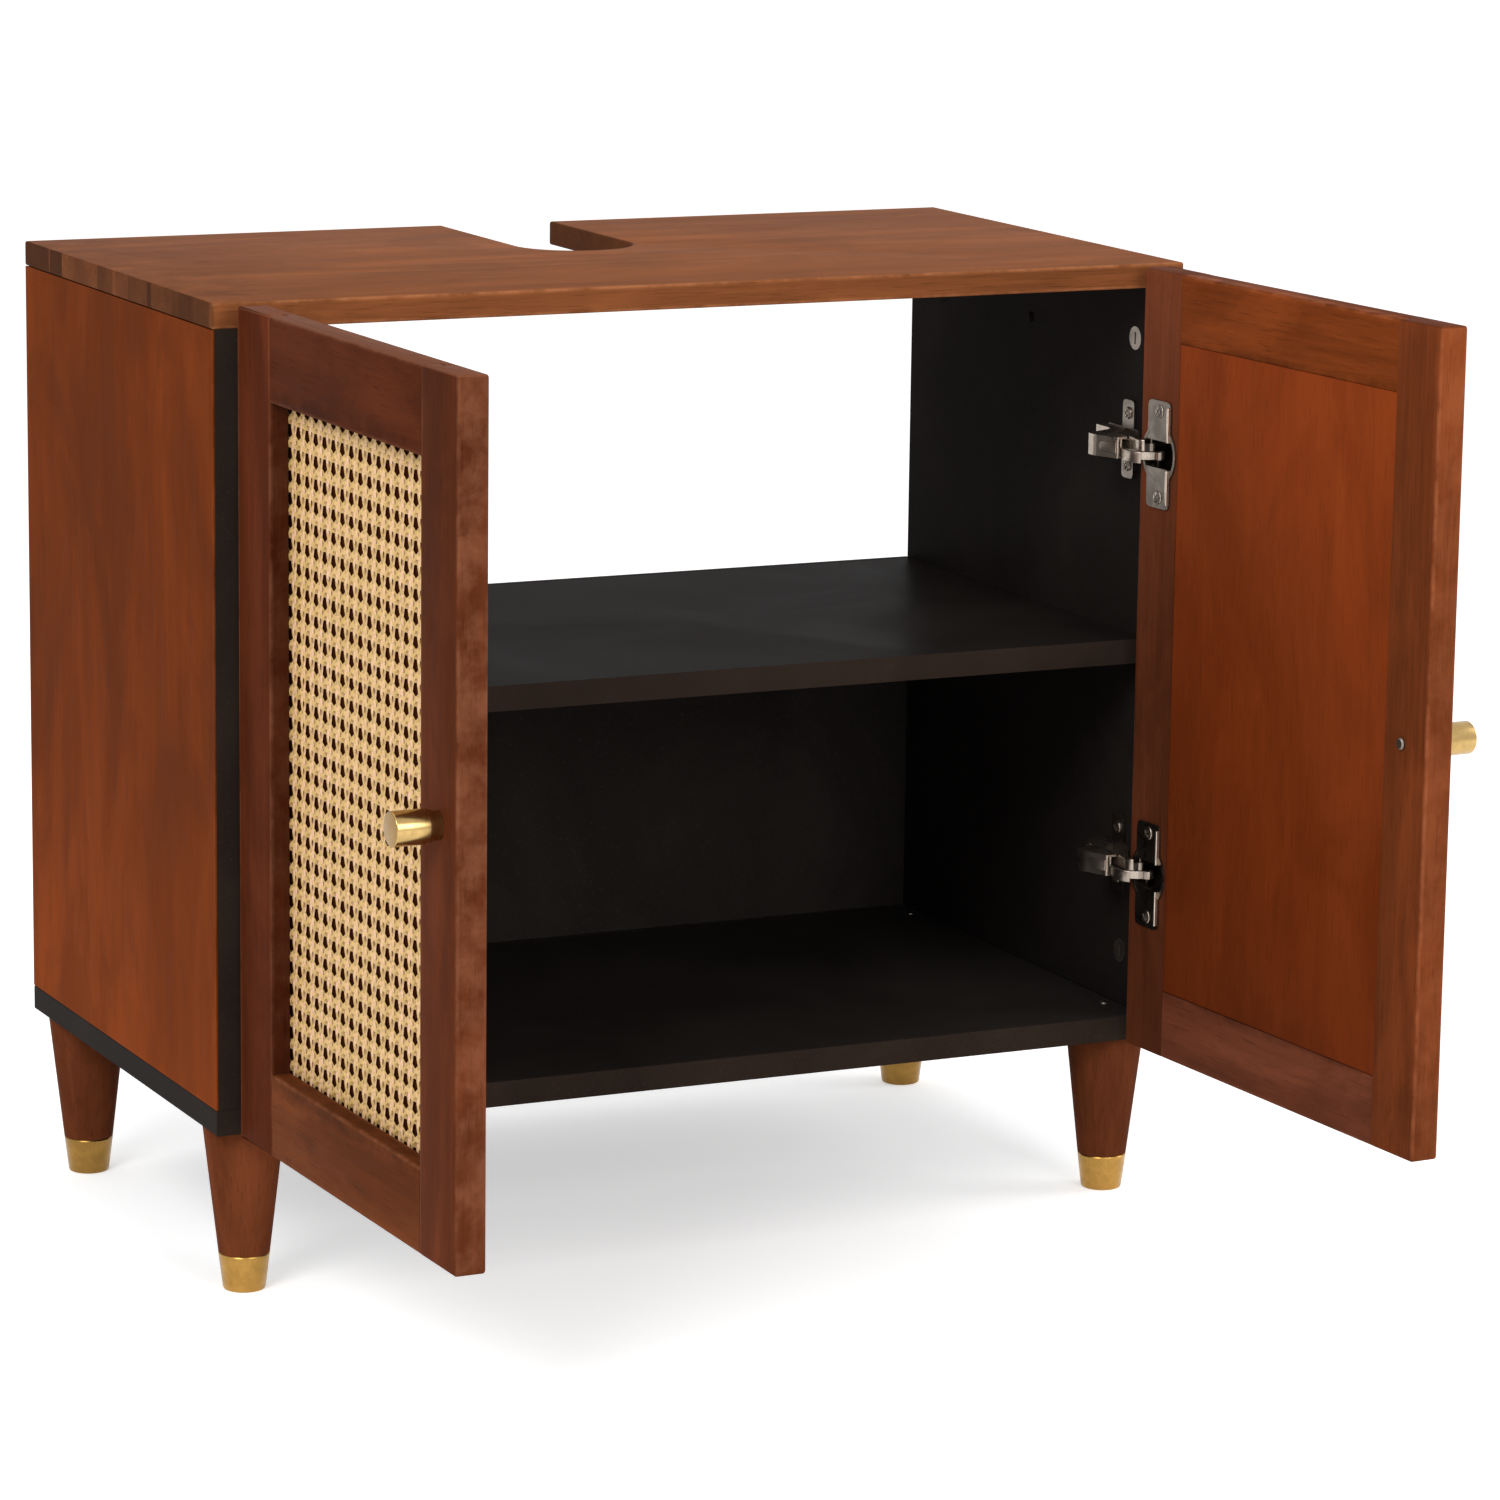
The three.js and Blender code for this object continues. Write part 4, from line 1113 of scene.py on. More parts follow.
# Turned profiles of a leg and its ferrule; steps are (inset from the radius, rise from the level)

LEG_SIDES = 64
LEG_WEAR_BOX = (0.5, 0.5, 0.5)
LEG_PATTERN = 0.17
LEG_IN_FERRULE = 0.0012
LEG_SHOULDER = 0.0003
LEG_ROUND = 0.0012
LEG_TOP_GAP = 0.0002
LEG_TOP_STEPS = ((0.0004, -0.0006), (0.0014, -LEG_TOP_GAP))
FERRULE_PROUD = 0.00004
FERRULE_WALL = 0.0009
FERRULE_FLOOR = 0.0011
FERRULE_FOOT_STEPS = ((0.0012, 0.0), (0.0004, 0.0004), (0.0, 0.0013))
FERRULE_RIM_STEPS = ((0.0, -0.0006), (0.0003, 0.0), (FERRULE_WALL, 0.0))


class CABINET_OT_legs(bpy.types.Operator):
    """Builds the four turned legs and their brass ferrules"""

    bl_idname = "cabinet.legs"
    bl_label = "Legs"

    def execute(self, context):
        fittings = context.scene.cabinet_fittings
        leg, ferrule = self.profiles(fittings)
        up = (0, 0, 1)
        # the rear ferrules' brass is darker, as painted shade
        brass = {end: metal_material(f"{end}_ferrule_brass", fittings.brass) for end in ("front", "rear")}
        for side in HANDS:
            for end, metal in brass.items():
                name = f"{side}_{end}"
                centre, _ = middle_and_half(f"{name}_leg")
                place = (centre[0], centre[1], FLOOR_LEVEL)
                wood = wood_material(
                    f"{name}_leg_wood", tuple(fittings.leg_stain), centre, LEG_WEAR_BOX,
                    offset=LEG_PATTERN + centre[0] + centre[1],
                )
                shape = turned(leg, LEG_SIDES, place, up)
                add_piece(f"{name}_leg_piece", shape, wood, CARCASS, [f"{name}_leg"])
                shape = turned(ferrule, LEG_SIDES, place, up)
                add_piece(f"{name}_ferrule_piece", shape, metal, CARCASS, [f"{name}_ferrule"])
        return {"FINISHED"}

    def profiles(self, fittings):
        """Profiles of a leg and a ferrule, from the floor up: a straight taper with rounded ends."""
        top = BOTTOM_UNDERSIDE - FLOOR_LEVEL
        foot, head = fittings.leg_foot_radius, fittings.leg_top_radius
        slope = (head - foot) / top
        shoulder = fittings.ferrule_height
        waist = foot + slope * shoulder
        rim = waist + FERRULE_PROUD
        leg = [
            (0, LEG_IN_FERRULE),
            (foot - LEG_IN_FERRULE, LEG_IN_FERRULE),
            (waist - LEG_IN_FERRULE, shoulder),
            (waist, shoulder + LEG_SHOULDER),
            (head - slope * LEG_ROUND, top - LEG_ROUND),
            *stepped(head, top, LEG_TOP_STEPS),
            (0, top - LEG_TOP_GAP),
        ]
        ferrule = [
            (0, 0),
            *stepped(foot, 0, FERRULE_FOOT_STEPS),
            (rim - slope * LEG_ROUND, shoulder - LEG_ROUND),
            *stepped(rim, shoulder, FERRULE_RIM_STEPS),
            (foot - FERRULE_WALL, FERRULE_FLOOR),
            (0, FERRULE_FLOOR),
        ]
        return leg, ferrule


# Stain and painted light on the frames: strength and pattern at a stile's edge, strength at its joint, then the
# rails' values

# On the free stiles the pale outer edge is painted sheen from the front light
STILE_STAINS_AND_SHEEN = {
    ("left", "hinge"): (0.22, "even", 0.30),
    ("left", "free"): (0.42, "broken", 0.22),
    ("right", "hinge"): (0.22, "even", 0.50),
    ("right", "free"): (0.16, "broken", 0.22),
}
# Dark band along each rail's inner edge: stain pooled at the joint, and painted shade under the rail
RAIL_STAINS_AND_SHADE = {"left": 0.45, "right": 0.85}
JOINT_WIDTH = 0.0035
RAIL_STAIN_AND_SHADE_WIDTH = 0.014
# Painted shade in the reveal, along the frame's inner edge beside the cane
REVEAL_WIDTH = 0.0007
PAINTED_REVEAL_SHADE = 0.42
CROWN_STAIN = 0.45
PANEL_FADE = (0.76, 1.02, 1.38)
# The panel's front face behind the cane is near black: partly a dark stain, partly painted shade behind the cane
PANEL_FRONT_STAIN_AND_SHADE = ((0, -1, 0), 0.0008, 0.97, "even")


class CABINET_OT_doors(bpy.types.Operator):
    """Builds both doors' frames and backing panels"""

    bl_idname = "cabinet.doors"
    bl_label = "Door frames and panels"

    def execute(self, context):
        door = DoorPlan(context.scene.cabinet_doors)
        for side in HANDS:
            self.add_stiles(door, side)
            self.add_rails(door, side)
            self.add_panel(door, side)
        return {"FINISHED"}

    def add_stiles(self, door, side):
        """Both uprights of a door, the left door's with pale ends and the right one's with dark ends."""
        hand = HANDS[side]
        for part, outward, pockets in (("hinge", -hand, cup_pockets(door, hand)), ("free", hand, ())):
            edge_stain_and_sheen, pattern, joint_stain = STILE_STAINS_AND_SHEEN[side, part]
            outer, inner = (outward, 0, 0), (-outward, 0, 0)
            # The pale outer edge is painted sheen on the free stiles
            pale = [(outer, EDGE_WIDTH, edge_stain_and_sheen, pattern), (inner, JOINT_WIDTH, joint_stain, "broken")]
            # Painted shade in the reveal along the stile's inner edge
            dark = [(inner, REVEAL_WIDTH, PAINTED_REVEAL_SHADE, "even")]
            (pale if side == "left" else dark).append(((0, 0, 1), EDGE_WIDTH, CROWN_STAIN, "even"))
            shape = stile_shape(door, hand, part == "hinge")
            add_frame_piece(side, f"{part}_stile", [shape], pockets, pale=pale, dark=dark)

    def add_rails(self, door, side):
        """Both level pieces of a door; only the left door's top rail has a pale outer edge."""
        for part, level, inward in (("top_rail", door.top, -1), ("bottom_rail", door.bottom, 1)):
            inner = (0, 0, inward)
            # Dark band along the inner edge: pooled stain and painted shade
            pale, dark = [], [(inner, RAIL_STAIN_AND_SHADE_WIDTH, RAIL_STAINS_AND_SHADE[side], "broken")]
            if part == "top_rail":
                # Painted shade in the reveal under the top rail
                dark.append((inner, REVEAL_WIDTH, PAINTED_REVEAL_SHADE, "even"))
            worn = side == "left" and part == "top_rail"
            (pale if worn else dark).append(((0, 0, -inward), EDGE_WIDTH, CROWN_STAIN, "even"))
            shapes = rail_shapes(door, HANDS[side], level, inward)
            add_frame_piece(side, part, shapes, grain="x", pale=pale, dark=dark)

    def add_panel(self, door, side):
        """Backing panel: a rectangle carried through its thickness."""
        sizes = door.sizes
        middle = np.array([door.middle, plan(HANDS[side], door.centre, 0)[0]])
        half = np.array([door.panel_height, door.panel_width]) / 2
        front = CARCASS_FRONT - door.panel_front
        outline = rectangle(middle - half, middle + half)
        shape = bar(outline, front, front + sizes.panel_thickness, PANEL_ARRIS, "y")
        centre, half = span(shape[0])
        veneer = wood_material(
            f"{side}_panel_veneer", tuple(sizes.panel_stain), swung(centre[None], side)[0], half,
            turn=door_turn(side), offset=pattern_offset(side, "backing"), look="panel",
            # dark front face: dark stain and painted shade behind the cane
            fade=PANEL_FADE, dark=[PANEL_FRONT_STAIN_AND_SHADE],
        )
        name = f"{side}_door_backing"
        add_piece(f"{name}_piece", swing_shape(shape, side), veneer, f"{side}_door", [name])


STRAND_SECTION = np.array([(-0.5, 0.0), (-0.3, 0.5), (0.3, 0.5), (0.5, 0.0), (0.3, -0.5), (-0.3, -0.5)])


def strand_grid(centre_lines, heights, widths, thickness):
    """Flat strands as one shape: a six-cornered section carried along each strand's line.

    centre_lines is (strands, steps, 2) in the sheet's plane, heights (strands, steps) off it. At each
    step the section's points are line + width s across + height + thickness d, with the section's
    six (s, d) pairs.
    """
    along = np.gradient(centre_lines, axis=1)
    along /= np.linalg.norm(along, axis=2, keepdims=True)
    across = np.stack([-along[..., 1], along[..., 0]], axis=-1)
    spread = widths * STRAND_SECTION[:, 0]
    flat = centre_lines[:, :, None] + spread[None, None, :, None] * across[:, :, None]
    lift = heights[:, :, None] + thickness * STRAND_SECTION[:, 1]
    return np.concatenate([flat, lift[..., None]], axis=-1)


def strand_faces(strands, steps, corners, first):
    """Faces of strands that each have steps rings of corners points, with both ends closed."""
    starts = first + np.arange(strands)[:, None] * (steps * corners)
    quads = (grid_faces(steps, corners)[None] + starts[..., None]).reshape(-1, 4)
    cap = np.arange(corners)
    return quads.tolist() + (starts + cap[::-1]).tolist() + (starts + (steps - 1) * corners + cap).tolist()


# Cane: each family's own tint, how the weave lies in its sheet, and what a strand's shade hangs on

FAMILY_TINTS = {"upright": 0.0, "level": 0.42, "slanted": 0.66}
TINT_SPREAD = 0.3
CANE_SEEDS = {"left": 7, "right": 11}
STEPS_IN_PITCH = 8
FIRST_SHARES = np.array([0.16, 0.28])
SHEET_MARGIN = 0.001
LIFT_SHARE = 0.62
WANDER_REACH = (1.1, 2.4)
SHORTEST_STRAND = 4
FIBRE_TONE = (0.90, 0.70, 0.46)
SHADOW_TONE = (0.20, 0.085, 0.022)
SPECK_TONE_SHADE = 0.45
CANE_RELIEF = 0.00010
CANE_SPECULAR = 0.25


class CABINET_OT_cane(bpy.types.Operator):
    """Weaves the cane of both doors"""

    bl_idname = "cabinet.cane"
    bl_label = "Cane"

    def execute(self, context):
        sizes = context.scene.cabinet_cane
        door = DoorPlan(context.scene.cabinet_doors)
        finish = self.cane_material(sizes)
        for side in HANDS:
            self.weave(sizes, door, side, finish)
        return {"FINISHED"}

    def cane_material(self, sizes):
        """Cane skin: pale, warm and ripe strands, with fine fibres, darker specks and painted shadow where a
        strand dips under others.
        """
        material, tree, shader = new_material("cane_skin")
        place = object_place(tree)
        pale, warm, ripe = tuple(sizes.pale_skin), tuple(sizes.warm_skin), tuple(sizes.ripe_skin)
        tint, rise = (
            add_node(tree, "ShaderNodeAttribute", attribute_name=name).outputs["Fac"]
            for name in ("tint", "rise")
        )
        patches = noise(tree, place, "cane_patches")
        fibres = noise(tree, place, "cane_fibres")
        specks = noise(tree, place, "cane_specks")
        body = mix_colours(tree, remap(tree, tint, 0.0, 0.5), pale, warm)
        for share, tone in (
            (remap(tree, tint, 0.5, 1.0), ripe),
            (remap(tree, patches, 0.45, 0.72, 0.0, 0.5), ripe),
            (remap(tree, specks, 0.58, 0.70, 0.0, 0.60), shade_of(ripe, SPECK_TONE_SHADE)),
            (remap(tree, fibres, 0.45, 0.75, 0.0, 0.25), FIBRE_TONE),
            # painted shadow where the strand dips under the others
            (remap(tree, rise, 0.0, 0.55, 0.62, 0.0), SHADOW_TONE),
        ):
            body = mix_colours(tree, share, body, tone)
        roughness = remap(tree, patches, 0.3, 0.7, 0.42, 0.60)
        set_finish(tree, shader, body, roughness, fibres, CANE_RELIEF, specular=CANE_SPECULAR)
        return material

    def weave(self, sizes, door, side, finish):
        """Three pieces: upright pairs, level pairs, and the two families of slanted strands.

        The pairs lie on the lines of a square lattice, so a hole's middle is half a pitch from each.
        The slanted strands run where x + z or x - z is a whole number of pitches from a pair's
        crossing plus a half, past the holes' corners. Each height is a sine or cosine along the strand.
        """
        pitch = sizes.pitch
        reach = np.array([door.panel_width, door.panel_height]) / 2 - SHEET_MARGIN
        lift = sizes.strand_thickness * LIFT_SHARE
        first = pitch * FIRST_SHARES
        ways = [np.arange(-end, end, pitch / STEPS_IN_PITCH) for end in reach]
        places = [
            np.arange(math.ceil((-end - start) / pitch), (end - start) / pitch) * pitch + start
            for end, start in zip(reach, first)
        ]
        families = {"upright": [], "level": []}
        rng = np.random.default_rng(CANE_SEEDS[side])
        for sign in (-1, 1):
            for axis, (part, shapes) in enumerate(families.items()):
                other, count = 1 - axis, len(places[axis])
                offset, width = getattr(sizes, f"{part}_offset"), getattr(sizes, f"{part}_width")
                lines = np.zeros((count, len(ways[other]), 2))
                lines[..., other] = ways[other][None]
                lines[..., axis] = (places[axis] + sign * offset)[:, None]
                lines[..., axis] += self.wandering(sizes, ways[other], rng, count)
                rise = sign * lift * (1 if part == "upright" else -1)
                wave = np.sin(2 * math.pi * (lines[..., other] - first[other]) / pitch) * rise
                shapes.append((lines, wave, width))
        families["slanted"] = self.slanted(sizes, reach, first, lift)
        nodes = [f"{side}_door_cane"]
        for part, shapes in families.items():
            self.add_cane(sizes, door, side, part, shapes, rng, finish, nodes)
            nodes = ()

    def wandering(self, sizes, along, rng, strands):
        """Sideways drift of each strand: wander times sin(along / reach + phase), each with its own two."""
        reach = sizes.pitch * rng.uniform(*WANDER_REACH, (strands, 1))
        phase = rng.uniform(0, 2 * math.pi, (strands, 1))
        return sizes.wander * np.sin(along[None] / reach + phase)

    def slanted(self, sizes, reach, first, lift):
        """Slanted strands, each cut where it leaves the sheet."""
        pitch = sizes.pitch
        shapes = []
        for slope in (-1, 1):
            count = math.ceil(reach.sum() / pitch) + 1
            for number in range(-count, count):
                x = np.arange(-reach[0], reach[0], pitch / STEPS_IN_PITCH)
                z = first[1] + (number + 0.5) * pitch + slope * (x - first[0])
                inside = abs(z) < reach[1]
                if inside.sum() < SHORTEST_STRAND:
                    continue
                line = np.stack([x[inside], z[inside]], axis=1)[None]
                along = line[..., 0] - first[0] - pitch / 2
                wave = np.cos(2 * math.pi * along / pitch) * 2 * lift * slope
                shapes.append((line, wave, sizes.slanted_width))
        return shapes

    def add_cane(self, sizes, door, side, part, shapes, rng, finish, replaced):
        """Strands of one family as one piece, each strand with its own tint."""
        x, y = plan(HANDS[side], door.centre, door.cane_middle)
        points, faces, tints, rises, first = [], [], [], [], 0
        for lines, heights, width in shapes:
            grid = strand_grid(lines, heights, width, sizes.strand_thickness)
            strands, steps, corners, _ = grid.shape
            flat = grid.reshape(-1, 3)
            points.append(np.stack([x + flat[:, 0], y - flat[:, 2], door.middle + flat[:, 1]], axis=1))
            faces += strand_faces(strands, steps, corners, first)
            shade = FAMILY_TINTS[part] + TINT_SPREAD * rng.random(strands)
            tints.append(np.repeat(shade, steps * corners))
            rises.append(np.repeat(0.5 + 0.5 * (heights / abs(heights).max()).ravel(), corners))
            first += len(flat)
        shape = (swung(np.concatenate(points), side), faces)
        made = add_piece(f"{side}_cane_{part}", shape, finish, f"{side}_door", replaced)
        for attribute_name, values in (("tint", tints), ("rise", rises)):
            attribute = made.data.attributes.new(attribute_name, "FLOAT", "POINT")
            attribute.data.foreach_set("value", np.concatenate(values).astype(np.float32))


# Knob: its seat off the door, its profile's small steps and its darker end face, partly painted shade

KNOB_SIDES = 64
KNOB_SEAT = 0.00015
KNOB_NECK_STEPS = ((0.0, 0.0), (0.0, 0.002), (-0.0004, 0.0035))
KNOB_FLARE_MIDDLE = 0.005
KNOB_SHOULDER_STEPS = ((0.0002, 0.0068), (0.0, 0.008))
KNOB_ROUND = 0.0008
KNOB_END_WIDTH = 0.0004
KNOB_END_SHARE = 0.85
KNOB_END_SHADE = 0.62


class CABINET_OT_knobs(bpy.types.Operator):
    """Turns both knobs"""

    bl_idname = "cabinet.knobs"
    bl_label = "Knobs"

    def execute(self, context):
        fittings = context.scene.cabinet_fittings
        door = DoorPlan(context.scene.cabinet_doors)
        radius, neck, reach = fittings.knob_radius, fittings.knob_neck_radius, fittings.knob_length
        profile = [
            (0, 0),
            *stepped(neck, 0, KNOB_NECK_STEPS),
            ((neck + radius) / 2, KNOB_FLARE_MIDDLE),
            *stepped(radius, 0, KNOB_SHOULDER_STEPS),
            *quarter_round(radius, reach, KNOB_ROUND),
            (0, reach),
        ]
        for side, hand in HANDS.items():
            u = door.edge + door.width - door.sizes.stile_width / 2
            seat = (*plan(hand, u, door.front + KNOB_SEAT), door.middle)
            shape = swing_shape(turned(profile, KNOB_SIDES, seat, (0, -1, 0)), side)
            brass = self.brass(side, fittings, seat, reach)
            name = f"{side}_knob"
            add_piece(f"{name}_piece", shape, brass, f"{side}_door", [name])
        return {"FINISHED"}

    def brass(self, side, fittings, seat, reach):
        """Turned brass, with a darker end face: partly a duller brushed end, partly painted shade."""
        material = metal_material("knob_brass", fittings.knob_brass, f"{side}_")
        tree = material.node_tree
        place = own_place(tree, door_turn(side), swung(np.array([seat]), side)[0])
        inputs = {"Vector": place, "Direction": (0, -1, 0), "Reach": reach, "Width": KNOB_END_WIDTH}
        near = use_group(tree, "Near a face", inputs)["Mask"]
        share = math_node(tree, "MULTIPLY", near, KNOB_END_SHARE)
        # darker end face: partly painted shade
        lay_over(material, share, shade_of(fittings.brass, KNOB_END_SHADE))
        return material


def framed(shape, origin, along, beside, out):
    """A shape drawn in its own axes, placed with its x, y and z along the three directions."""
    points, faces = shape
    axes = np.array([along, beside, out], float)
    return np.asarray(points) @ axes + np.array(origin), faces


# Screw heads, as shares of their radius or height, and (radius, height) of each kind

CROSS_ARM_SHARE = 0.72
CROSS_WIDTH_SHARE = 0.13
CROSS_DEPTH_SHARES = (0.25, 1.3)
SKIRT_SHARE = 0.2
DOME_START = 0.15
DOME_STEPS = 6
SCREW_SIDES = 32
PLATE_SCREW = (0.0038, 0.0020)
CUP_SCREW = (0.0042, 0.0014)
ARM_SCREW = (0.0030, 0.0014)
BASE_SCREW = (0.0032, 0.0018)


def screw_shapes(origin, out, radius, height):
    """Domed screw head and its cross recess: the dome is radius cos t out and height sin t up."""
    out = Vector(out).normalized()
    along = out.orthogonal().normalized()
    beside = out.cross(along)
    t = np.linspace(DOME_START, math.pi / 2, DOME_STEPS + 1)[:-1]
    dome = np.stack([radius * np.cos(t), height * np.sin(t)], axis=1).tolist()
    skirt = -SKIRT_SHARE * height
    head = turned([(0, skirt), (radius, skirt), *dome, (0, height)], SCREW_SIDES, origin, out)
    a, b = radius * CROSS_ARM_SHARE, radius * CROSS_WIDTH_SHARE
    arm, quarter_turn = np.array([[a, -b], [a, b], [b, b]]), np.array([[0, 1], [-1, 0]])
    cross = np.concatenate([arm @ np.linalg.matrix_power(quarter_turn, number) for number in range(4)])
    low, high = (share * height for share in CROSS_DEPTH_SHARES)
    return head, framed(bar(cross, low, high), origin, along, beside, out)


# Places on the hinges and the carcass: v and u as on a closed door, heights from the hinge's middle

CUP_SCREW_SPREAD = 0.026
PLATE_SCREW_SPREAD = 0.016
PLATE_SCREW_V = -0.032
PLATE_FACE_U = 0.0022
ARM_FACE_U = 0.011
ARM_SCREW_PLACES_V = (-0.0512, -0.040)
FLANGE_FACE_V = 0.0007
BASE_SCREW_INSET = 0.0075
BASE_SCREW_PLACES_Y = (-0.029, -0.296)
BLACK_PLASTIC_SHADE = 0.8
BEVEL_WIDTH = 0.00022
BEVEL_ANGLE = math.radians(40)
PLUG_PLACE = (-0.165, 0.4205)
PLUG_SIDES = 32
PLUG_PROFILE = [
    (0, -0.001), (0.0032, -0.001), (0.0032, 0.0006), (0.0028, 0.0012), (0.0012, 0.0017), (0, 0.0018),
]

# Tongue on the arm's slope: the slope's two ends, then the tongue along it, across it and out of it

ARM_SLOPE = ((0.0336, -0.0184), (0.0268, -0.0006))
TONGUE_SPAN = (0.28, 0.97)
TONGUE_HALF = 0.0034
TONGUE_ROUNDS = (0.003, 0.0004)
TONGUE_DEPTHS = (-0.0001, 0.0007)
TONGUE_ARRIS = 0.0004

# Links, drawn with the door closed: both pins, the curve's handles, the wide stretch as shares of
# the curve, and the half of the hinge that the link keeps to

LINKS = {
    "outer": (((0.030, -0.022), (-0.0047, 0.004)), ((0.0001, -0.0193), (0.0086, 0.016)), (0.42, 0.87), 1),
    "inner": (((0.0232, -0.003), (-0.0023, 0.0077)), ((0.017, 0.0059), (0.0145, 0.0154)), (0.20, 0.74), -1),
}
ELBOW_THICKNESS = 0.0023
ELBOW_INNER = 0.0003
ELBOW_OUTER = 0.0072
ELBOW_ARRIS = 0.0005
WINDOW_HALF = 0.0083
# Painted shade deep inside each cup's hollow: its depth, share and tone
CUP_HOLLOW_DEPTH = 0.004
CUP_HOLLOW_SHARE = 0.85
CUP_HOLLOW_PAINTED_SHADE = (0.05, 0.04, 0.034)
FACE_STEPS = 25
FACE_RADIUS = 0.0169
FACE_DEPTHS_V = (0.00074, 0.00175)
LIP_REACH_U = (0.0192, 0.0209)
LIP_DEPTHS_V = (-0.0013, 0.0016)
LIP_END = 0.0295
LIP_ROUND = 0.0005


def strap_outline(hand, ends, handles, span, thickness, steps=18):
    """Outline of a strap along part of a cubic curve, in plan.

    The curve is (1 - t)^3 a + 3 (1 - t)^2 t h + 3 (1 - t) t^2 k + t^3 b, and each side lies half the
    thickness from it, square to its slope.
    """
    t = np.linspace(*span, steps + 1)[:, None]
    (a, b), (h, k) = np.array(ends), np.array(handles)
    line = (1 - t) ** 3 * a + 3 * (1 - t) ** 2 * t * h + 3 * (1 - t) * t ** 2 * k + t ** 3 * b
    line = plan(hand, line[:, 0], line[:, 1]).T
    slope = np.gradient(line, axis=0)
    slope /= np.linalg.norm(slope, axis=1, keepdims=True)
    across = np.stack([-slope[:, 1], slope[:, 0]], axis=1) * thickness / 2
    return tidy_outline(np.concatenate([line + across, (line - across)[::-1]]))


class CABINET_OT_hinges(bpy.types.Operator):
    """Finishes the hinges, cams and knob screws, and adds the hinges' small parts, screws and plugs"""

    bl_idname = "cabinet.hinges"
    bl_label = "Hinges and fittings"

    def execute(self, context):
        base = context.scene.cabinet_fittings.nickel
        door = DoorPlan(context.scene.cabinet_doors)
        nickel, dull_shaded, painted_highlight, zinc = (
            metal_material(name, base)
            for name in ("nickel_plate", "dull_shaded_nickel", "painted_highlight_nickel", "zinc_casting")
        )
        cap = black_material("black_plastic", shade_of(context.scene.cabinet_boards.black_face, BLACK_PLASTIC_SHADE))
        for side, hand in HANDS.items():
            cup_metal = self.cup_material(base, side, door)
            finishes = {
                "hinge_arm": nickel, "outer_link": nickel, "inner_link": nickel,
                "hinge_plate": dull_shaded, "hinge_cup": cup_metal,
            }
            finish_nodes(dull_shaded, [f"{side}_knob_screw"])
            for level in LEVELS:
                finish_nodes(zinc, [f"{side}_{level}_front_cam"])
                # The rear cams take the black plastic, so they are darker than the zinc front cams
                finish_nodes(cap, [f"{side}_{level}_rear_cam"])
                for part, finish in finishes.items():
                    finish_nodes(finish, [f"{side}_{level}_{part}"])
                    self.bevel(frame["nodes"][f"{side}_{level}_{part}"])
            self.add_screws(side, hand, door, nickel, dull_shaded)
            self.add_tongues(side, hand, door, nickel)
            self.add_elbows(side, hand, door, nickel)
            self.add_cup_faces(side, hand, door, cup_metal, painted_highlight)
            self.add_plug(side, hand, cap)
        return {"FINISHED"}

    def add_plug(self, side, hand, finish):
        """Black plug in the middle of the side board, near its top."""
        shape = turned(PLUG_PROFILE, PLUG_SIDES, (-hand * INNER_HALF, *PLUG_PLACE), (hand, 0, 0))
        add_piece(f"{side}_side_plug", shape, finish, CARCASS)

    def bevel(self, node):
        """Small rounded edge on a pressed part, as its stamping leaves it."""
        modifier = node.modifiers.new("Edge", "BEVEL")
        modifier.width = BEVEL_WIDTH
        modifier.segments = 2
        modifier.limit_method = "ANGLE"
        modifier.angle_limit = BEVEL_ANGLE

    def add_elbows(self, side, hand, door, finish):
        """Wide middle of each link, pressed as one piece with its strap."""
        for link, (ends, handles, span, layer) in LINKS.items():
            outline = strap_outline(hand, ends, handles, span, ELBOW_THICKNESS)
            start = plan(hand, *ends[0])
            shapes = []
            for level in hinge_levels(door):
                low, high = sorted((level + layer * ELBOW_INNER, level + layer * ELBOW_OUTER))
                shapes.append(bar(outline, low, high, ELBOW_ARRIS))
            points, faces = joined(shapes)
            points = turn_about(points, start, hand * link_turn(side, link), start)
            add_piece(f"{side}_{link}_link_elbows", (points, faces), finish, f"{side}_{link}_links")

    def add_cup_faces(self, side, hand, door, face_metal, lip_metal):
        """Face plate above and below each cup's window, and the raised lip along its far edge.

        A face plate is the part of the mouth's circle past the window: radius (cos t, sin t), with t
        from asin(window / radius) to its mirror.
        """
        x, _ = plan(hand, door.edge + CUP_EDGE_DISTANCE, 0)
        start = math.asin(WINDOW_HALF / FACE_RADIUS)
        t = start + (math.pi - 2 * start) * np.linspace(0, 1, FACE_STEPS)
        face_low, face_high = (CARCASS_FRONT - v for v in FACE_DEPTHS_V[::-1])
        lip_low, lip_high = (CARCASS_FRONT - v for v in LIP_DEPTHS_V[::-1])
        lip_near, lip_far = sorted(plan(hand, u, 0)[0] for u in LIP_REACH_U)
        faces, lips = [], []
        for level in hinge_levels(door):
            for sign in (-1, 1):
                across, along = x + FACE_RADIUS * np.cos(t), level + sign * FACE_RADIUS * np.sin(t)
                outline = tidy_outline(np.stack([along, across], axis=1))
                faces.append(bar(outline, face_low, face_high, axis="y"))
                near, far = sorted((level + sign * WINDOW_HALF, level + sign * LIP_END))
                outline = rectangle((near, lip_near), (far, lip_far), (LIP_ROUND, LIP_ROUND))
                lips.append(bar(outline, lip_low, lip_high, LIP_ROUND, "y"))
        body = f"{side}_door"
        add_piece(f"{side}_cup_face_plates", swing_shape(joined(faces), side), face_metal, body)
        add_piece(f"{side}_cup_lips", swing_shape(joined(lips), side), lip_metal, body)

